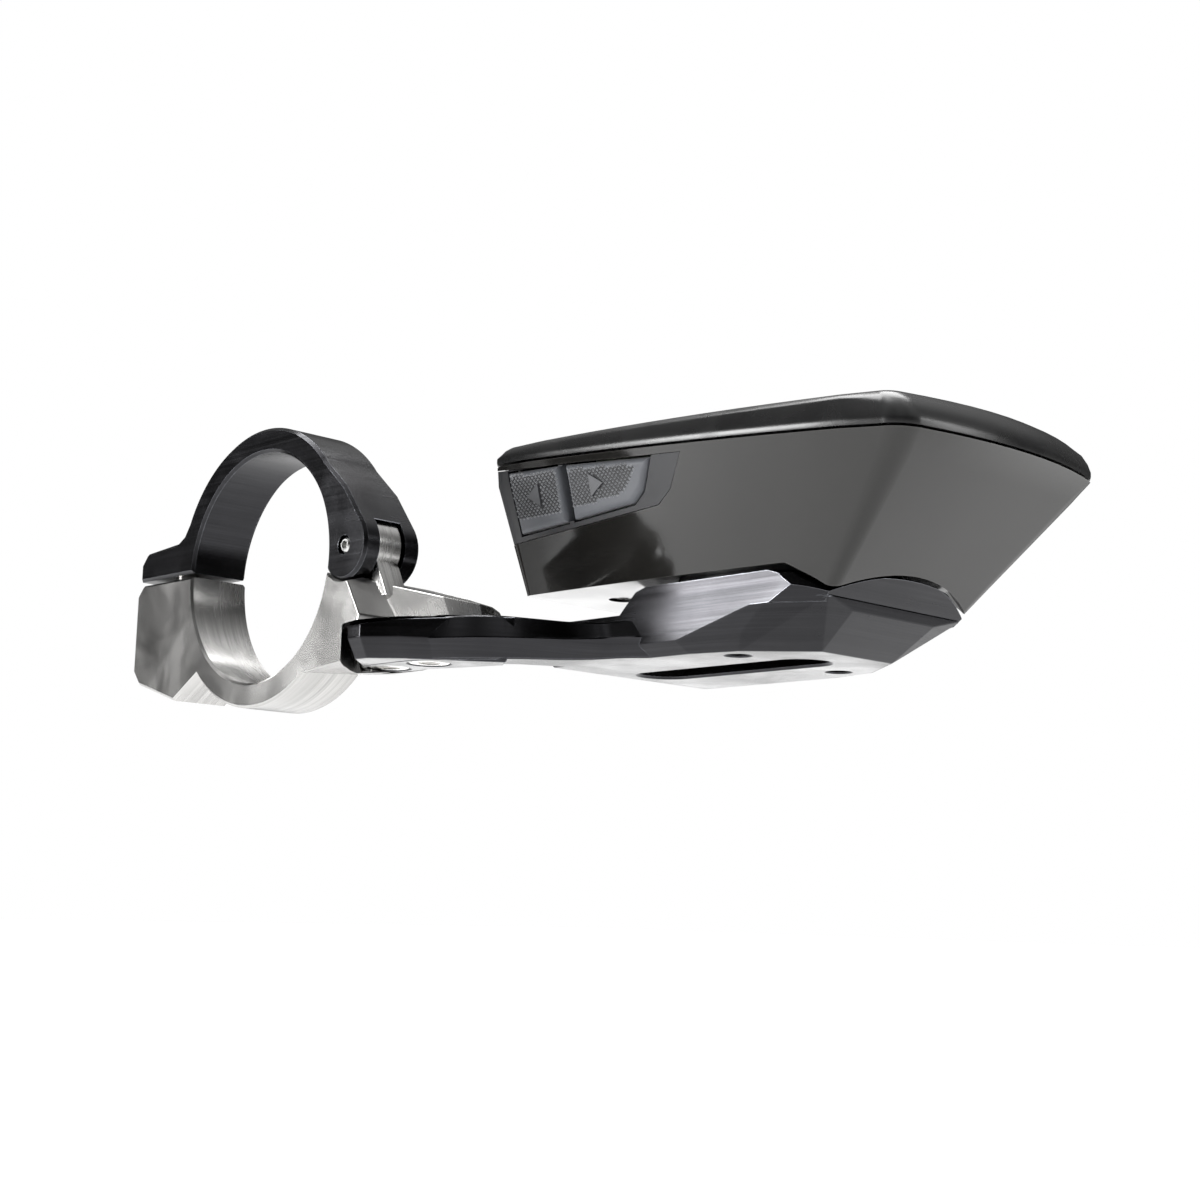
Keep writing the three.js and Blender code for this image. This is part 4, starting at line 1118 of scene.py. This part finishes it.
# %% [markdown]
# ## Mount: the arm and its head
#
# The arm is milled from one bar and anodised black. Its root is let into the base, its blade
# curves forwards, and it widens into a faceted head. A milled part like this has flat facets
# and fine bright edges where they meet, so the head is a convex body with its edges bevelled,
# and the blade is a loft along a smooth path whose cross-section has its own narrow edge strips.

# %% Head
HEAD_BOTTOM = -12.5
PLATE_TOP = -6.7
DISC_TOP = -3.4
HEAD_HALF = 16.9
INSERT_R = 14.6
INSERT_SCREW_Y = 10.3


def both_sides(points):
    return points + [(x, -y, z) for x, y, z in points]


head = convex(both_sides([
    (-29, 15.4, HEAD_BOTTOM), (-4, 15.2, HEAD_BOTTOM), (3, 13.6, HEAD_BOTTOM), (11.2, 7.2, HEAD_BOTTOM),
    (-29.3, 16.7, -11), (-5, 16.7, -10.9), (5.0, 15.4, -10.4), (13.6, 7.4, -10.4),
    (5.7, HEAD_HALF, -8), (14.6, 13.4, -8), (17.0, 8.4, -8),
    (17.4, 13.8, PLATE_TOP), (10.6, HEAD_HALF, PLATE_TOP), (-29.3, HEAD_HALF, PLATE_TOP),
]), 0.16, 4)


def disc_edge(z):
    return pocket_radius(z) - 0.7


disc = turned([(disc_edge(-7.5), -7.5), (disc_edge(DISC_TOP - 0.5), DISC_TOP - 0.5),
               (disc_edge(DISC_TOP) - 0.6, DISC_TOP)], (0, 0, 0), sides=128)
limits = convex(both_sides([
    (-30, HEAD_HALF, -7.4), (10.6, HEAD_HALF, -7.4), (16.55, 13.4, -7.4),
    (-30, HEAD_HALF, 0), (16, HEAD_HALF, 0), (23.7, 16.3, 0),
]))
combined(disc, limits, "INTERSECT")
arm = join(moved(head, TWIST), moved(disc, TWIST))
print("head with its disc:", len(arm.data.polygons), "faces")

# %% Blade
# x, y, half-width, bottom and top, from the root's centre to the head
BLADE = [
    (18.2, 5.2, 4.8, -14.2, -10.3), (22.0, 5.2, 4.8, -14.2, -10.3), (25.6, 5.3, 4.75, -14.2, -9.4),
    (28.6, 6.6, 4.6, -14.1, -8.6), (31.4, 10.0, 4.4, -13.8, -8.2), (33.0, 15.0, 4.4, -13.4, -8.1),
    (33.8, 20.6, 5.1, -13.0, -8.0), (35.4, 26.2, 6.6, -12.6, -7.8), (39.0, 31.4, 8.6, -12.5, -7.2),
]


def spline(rows, steps):
    """Rows of numbers with smooth in-between rows, so that the path and the widths flow."""
    made = []
    for i in range(len(rows) - 1):
        ends = [rows[max(i - 1, 0)], rows[i], rows[i + 1], rows[min(i + 2, len(rows) - 1)]]
        for k in range(steps):
            t = k / steps
            made.append(tuple(
                0.5 * (2 * b + (c - a) * t + (2 * a - 5 * b + 4 * c - d) * t ** 2
                       + (3 * b - a - 3 * c + d) * t ** 3)
                for a, b, c, d in zip(*ends)))
    return made + [rows[-1]]


def blade(grow=0.0):
    """The arm's blade, with a round root."""
    rows = spline(BLADE, 5)
    half = rows[0][2]
    ends = [(rows[0][0] - half * math.cos(a), rows[0][1], half * math.sin(a), rows[0][3], rows[0][4])
            for a in [math.radians(d) for d in (4, 14, 26, 38, 50, 62, 76)]]
    rows = ends + rows
    rings = []
    for i, (x, y, w, bottom, top) in enumerate(rows):
        ahead, behind = rows[min(i + 1, len(rows) - 1)], rows[max(i - 1, 0)]
        along = Vector((ahead[0] - behind[0], ahead[1] - behind[1], 0)).normalized()
        across = Vector((-along.y, along.x, 0))
        start = Vector((x - (grow if i < len(ends) else 0), y, 0))
        w += grow
        ridge = bottom + 2.7
        taper = min(1.0, w / 3)
        side = [(w - 1.15 * taper, top + grow), (w - 0.85 * taper, top - 0.2 + grow),
                (w, ridge + 0.12), (w, ridge - 0.12),
                (w - 0.95 * taper, bottom + 0.16), (w - 1.2 * taper, bottom - grow)]
        outline = side + [(-d, z) for d, z in reversed(side)]
        rings.append([start + across * d + Vector((0, 0, z)) for d, z in outline])
    return loft(rings)


# %% Flank
# x, y and top, round the near corner of the base and on to the blade's waist
FLANK = [
    (20.6, -4.2, -9.9), (23.2, -4.2, -9.8), (27.4, -1.3, -9.2), (31.3, 4.0, -8.7),
    (36.0, 10.8, -8.3), (33.0, 13.0, -8.3), (20.0, 9.8, -10.3), (14.0, 3.0, -10.3),
]
FLANK_MIDDLE = Vector((26, 4, 0))


def flank():
    """The arm's near flank, with the same ridge and lower chamfer as the blade."""
    points = []
    for x, y, top in FLANK:
        reach = Vector((x, y, 0)) - FLANK_MIDDLE
        low = FLANK_MIDDLE + reach * (1 - 1.1 / reach.length)
        points += [(x, y, top), (x, y, -11.5), (low.x, low.y, -14.15)]
    return convex(points, 0.15, 12)


# %% The arm in one piece
def slot_outline(d=0.0):
    """The long slot through the head, grown by d."""
    return rounded_rectangle(-26.3 - d, 5.8 + d, -4 - d, 4 + d, 3.98 + d, 12)


join(arm, blade(), flank())
cut(arm, turned([(INSERT_R + GAP, -8.5), (INSERT_R + GAP, 1)], TWIST, sides=96))
cut(arm, moved(drawn_out(slot_outline(), flat, -15, 0), TWIST))
rim = loft([[TWIST + Vector((a, b, z)) for a, b in slot_outline(d)]
            for z, d in ((HEAD_BOTTOM - 0.3, 0.65), (HEAD_BOTTOM + 0.35, 0.0))])
cut(arm, rim)
screw_way = [(1.95, -15), (1.95, HEAD_BOTTOM), (1.75, HEAD_BOTTOM + 0.2),
             (1.75, -10.2), (1.15, -10.2), (1.15, -8)]
for y in (-INSERT_SCREW_Y, INSERT_SCREW_Y):
    cut(arm, turned(screw_way, TWIST + Vector((0, y, 0)), sides=32))
ROOT_SCREWS = [(17.6, 5.2), (25.8, 5.2)]
for x, y in ROOT_SCREWS:
    cut(arm, turned([(3.1, -16), (3.1, -14.3), (1.8, -12.5), (1.8, -9)], (x, y, 0), sides=40))
finish_piece(arm, "arm_and_head", "mount", "black_anodised", ["mount_arm"], crease=20)

# %% [markdown]
# ## Mount: the clamp
#
# The base is bright metal: a half ring for the handlebar, a block that carries the arm, a lug
# for the hinge and a rear ear for the bolt. The band is its black upper half. Both get the
# narrow chamfers that a milling machine leaves along every long edge.

# %% Clamp: shared sizes and helpers
BAR_R = 15.9
RING_R = 19.3
HALF = 4.5
EAR_R = 4.6
LUG_LOW, LUG_HIGH, LUG_R = -1.9, 1.7, 4.2
BOLT_X = -23.5
AT_PIN = (PIN.x, 0, PIN.z)
AT_BOLT = (BOLT_X, 0, 0)


def along_bar(a, b, n):
    """Places an outline's points upright, seen along the handlebar."""
    return Vector((a, n, b))


def arc(radius, start, end, steps, centre=(0, 0)):
    angles = [math.radians(start + (end - start) * i / steps) for i in range(steps + 1)]
    return [(centre[0] + radius * math.cos(a), centre[1] + radius * math.sin(a)) for a in angles]


def chamfer_rims(body, width, flatten=False):
    """A narrow chamfer on the rims of a body drawn along the bar, and on nothing else."""
    bm = bmesh.new()
    bm.from_mesh(body.data)
    if flatten:
        bmesh.ops.dissolve_limit(bm, angle_limit=math.radians(0.5), verts=bm.verts, edges=bm.edges)
    rims = [e for e in bm.edges if len({round(v.co.y, 3) for v in e.verts}) == 1]
    bmesh.ops.bevel(bm, geom=rims, offset=width, offset_type="OFFSET", segments=1, profile=0.5,
                    affect="EDGES", clamp_overlap=True)
    bm.to_mesh(body.data)
    bm.free()


print("clamp ring:", BAR_R, "to", RING_R, "mm in radius and", 2 * HALF, "mm wide")

# %% Clamp base: its ring, block and lug
half_ring = arc(RING_R, 0, -134, 60) + [(-19, -17.2), (-28.6, -14.3), (-30.2, -12.4), (-30.2, -1.2),
                                      (-28.8, 0.3)] + [(BAR_R * 0.9, 0.3)]
base = drawn_out(half_ring, along_bar, -HALF, HALF)
chamfer_rims(base, 0.35)

BLOCK_RINGS = [
    [(11, -4.5, -15.4), (21.5, -4.5, -14.3), (23.2, -4.5, -8.6), (19.6, -4.5, -2.6), (13.5, -4.5, -1.4)],
    [(11, -1.6, -15.2), (26.8, -1.6, -14.2), (27.6, -1.6, -9.4), (23.4, -1.6, -4.2), (13.5, -1.6, -1.6)],
    [(12, 4.2, -14.8), (30.4, 4.2, -14.2), (31.4, 4.2, -9.9), (29.2, 4.2, -5.8), (13.8, 4.2, -1.8)],
    [(13, 9.6, -14.2), (30.4, 9.6, -14.0), (31.8, 9.6, -9.9), (30.4, 9.6, -6.2), (14, 9.6, -2.0)],
    [(14.5, 13.2, -12.4), (27.6, 13.4, -12.6), (30.2, 13.4, -9.4), (28.6, 13.4, -6.0), (15, 13.0, -2.3)],
    [(19.6, 17.0, -9.6), (24.6, 17.6, -9.0), (26.4, 17.8, -7.8), (25.0, 17.8, -5.8), (20.6, 16.2, -3.8)],
]
block = loft([[Vector(p) for p in ring] for ring in BLOCK_RINGS], 0.18, 9)
lug_side = arc(LUG_R, -30, 150, 24, (PIN.x, PIN.z)) + [(14.6, -6), (25.4, -6)]
lug = drawn_out(lug_side, along_bar, LUG_LOW, LUG_HIGH, 0.15)
ear_room = [turned([(EAR_R + GAP, a), (EAR_R + GAP, b)], AT_PIN, "Y", 64)
            for a, b in ((-10, LUG_LOW), (LUG_HIGH, HALF + GAP))]

# %% Clamp base: cut to its final form
join(base, block)
cut(base, *ear_room)
cut(base, drawn_out([(14, -1.2), (30, -1.2), (30, 20), (14, 20)], along_bar, -10, HALF + GAP))
join(base, lug)
cut(base, turned([(1.3, -10), (1.3, 10)], AT_PIN, "Y", 32))
bore = [(BAR_R + 0.35, -HALF - 1), (BAR_R + 0.35, -HALF), (BAR_R, -HALF + 0.35), (BAR_R, 30)]
cut(base, turned(bore, (0, 0, 0), "Y", 128))
cut(base, turned([(2.35, -20), (2.35, 5)], AT_BOLT, sides=32))
cut(base, turned([(3.6, -20), (3.6, -8.9)], AT_BOLT, sides=40))
for x, y in ROOT_SCREWS:
    cut(base, turned([(1.7, -16), (1.7, -5.9)], (x, y, 0), sides=32))
FLANK_ROOM = [
    (21.0, -6, -9.5), (23.8, -6, -9.4), (29.5, -2.6, -8.9), (33.5, 3, -8.3),
    (38, 10.6, -7.9), (33, 13.5, -8), (19.8, 10.2, -10), (13.6, 2.9, -10),
]
cut(base, convex([(x, y, z) for x, y, top in FLANK_ROOM for z in (top, -16)]), blade(GAP))
finish_piece(base, "clamp_base_milled", "mount", "clear_anodised", ["clamp_base"], crease=20)

# %% Clamp band
band_side = [(-29.6, 0.9), (-29.6, 3.4), (-28.2, 5.0), (-20.4, 5.6), (-18.6, 6.6)]
band_side += arc(RING_R, 155, 41, 48)
band_side += [(19.2, 8.6)] + arc(EAR_R, 40, -178, 32, (PIN.x, PIN.z)) + [(BAR_R * 0.92, 0.9)]
band = drawn_out(band_side, along_bar, -HALF, HALF)
cut(band, turned([(BAR_R, -10), (BAR_R, 10)], (0, 0, 0), "Y", 128))
chamfer_rims(band, 0.4, flatten=True)
cut(band, turned([(LUG_R + 0.45, LUG_LOW - GAP), (LUG_R + 0.45, LUG_HIGH + GAP)], AT_PIN, "Y", 64))
under_lug = [(PIN.x - 8, -8), (30, -8), (30, 0.9), (PIN.x - 8, 0.9)]
cut(band, drawn_out(under_lug, along_bar, LUG_LOW - GAP, LUG_HIGH + GAP))
cut(band, turned([(1.3, -10), (1.3, 10)], AT_PIN, "Y", 32))
cut(band, turned([(2.4, -5), (2.4, 20)], AT_BOLT, sides=32))
finish_piece(band, "clamp_band_milled", "band", "black_anodised", ["clamp_band"], crease=20)

# %% [markdown]
# ## Fasteners
#
# Screws are turned parts: a profile spun round an axis, with a six-sided hole cut for the key.

# %% Fasteners
def hexagon(x, y, r, low, high):
    return turned([(r, low), (r, high)], (x, y, 0), sides=6)


for number, (x, y) in enumerate(ROOT_SCREWS, 1):
    profile = [(2.5, -14.12), (2.72, -14.0), (2.66, -13.8), (1.45, -12.6), (1.4, -6.4)]
    screw = turned(profile, (x, y, 0), sides=48)
    cut(screw, turned([(1.45, -15), (1.45, -14.0), (1.2, -13.85)], (x, y, 0), sides=32))
    cut(screw, hexagon(x, y, 1.15, -15, -13.0))
    finish_piece(screw, f"root_screw_{number}", "mount", "screw_steel", [f"arm_screw_{number}"])

pin_end = HALF - 0.1
pin_side = [(0.75, -pin_end), (1.0, -pin_end + 0.2), (1.0, pin_end - 0.2), (0.75, pin_end)]
pin = turned(pin_side, AT_PIN, "Y", 32)
cut(pin, turned([(0.58, -pin_end - 1), (0.5, -pin_end + 0.8)], AT_PIN, "Y", 24))
finish_piece(pin, "band_pin", "mount", "steel", ["hinge_pin"])

bolt = turned([(2.9, -12.4), (3.2, -12.1), (3.2, -9.4), (3.0, -9.2), (2.0, -9.2), (2.0, 3.4), (1.4, 4.2)],
              AT_BOLT, sides=48)
cut(bolt, hexagon(BOLT_X, 0, 1.5, -13.4, -10.4))
finish_piece(bolt, "band_bolt", "bolt", "screw_steel", ["clamp_bolt"])

# %% [markdown]
# ## Inner parts
#
# The display, board, battery, switches and the two halves of the bayonet keep the frame's own
# solids, whose shapes are already right. Only their finish is missing, and the record names one
# for each of them.

# %% Finishes for the parts kept from the frame
slot_of = {part["node"]: part["material_slot"] for part in frame["record"]["subparts"]}
kept = [name for name, node in frame["nodes"].items() if not node.hide_render]
for name in kept:
    node = frame["nodes"][name]
    node.data.materials.clear()
    node.data.materials.append(MATS[slot_of[name]])
print("kept from the frame:", kept)
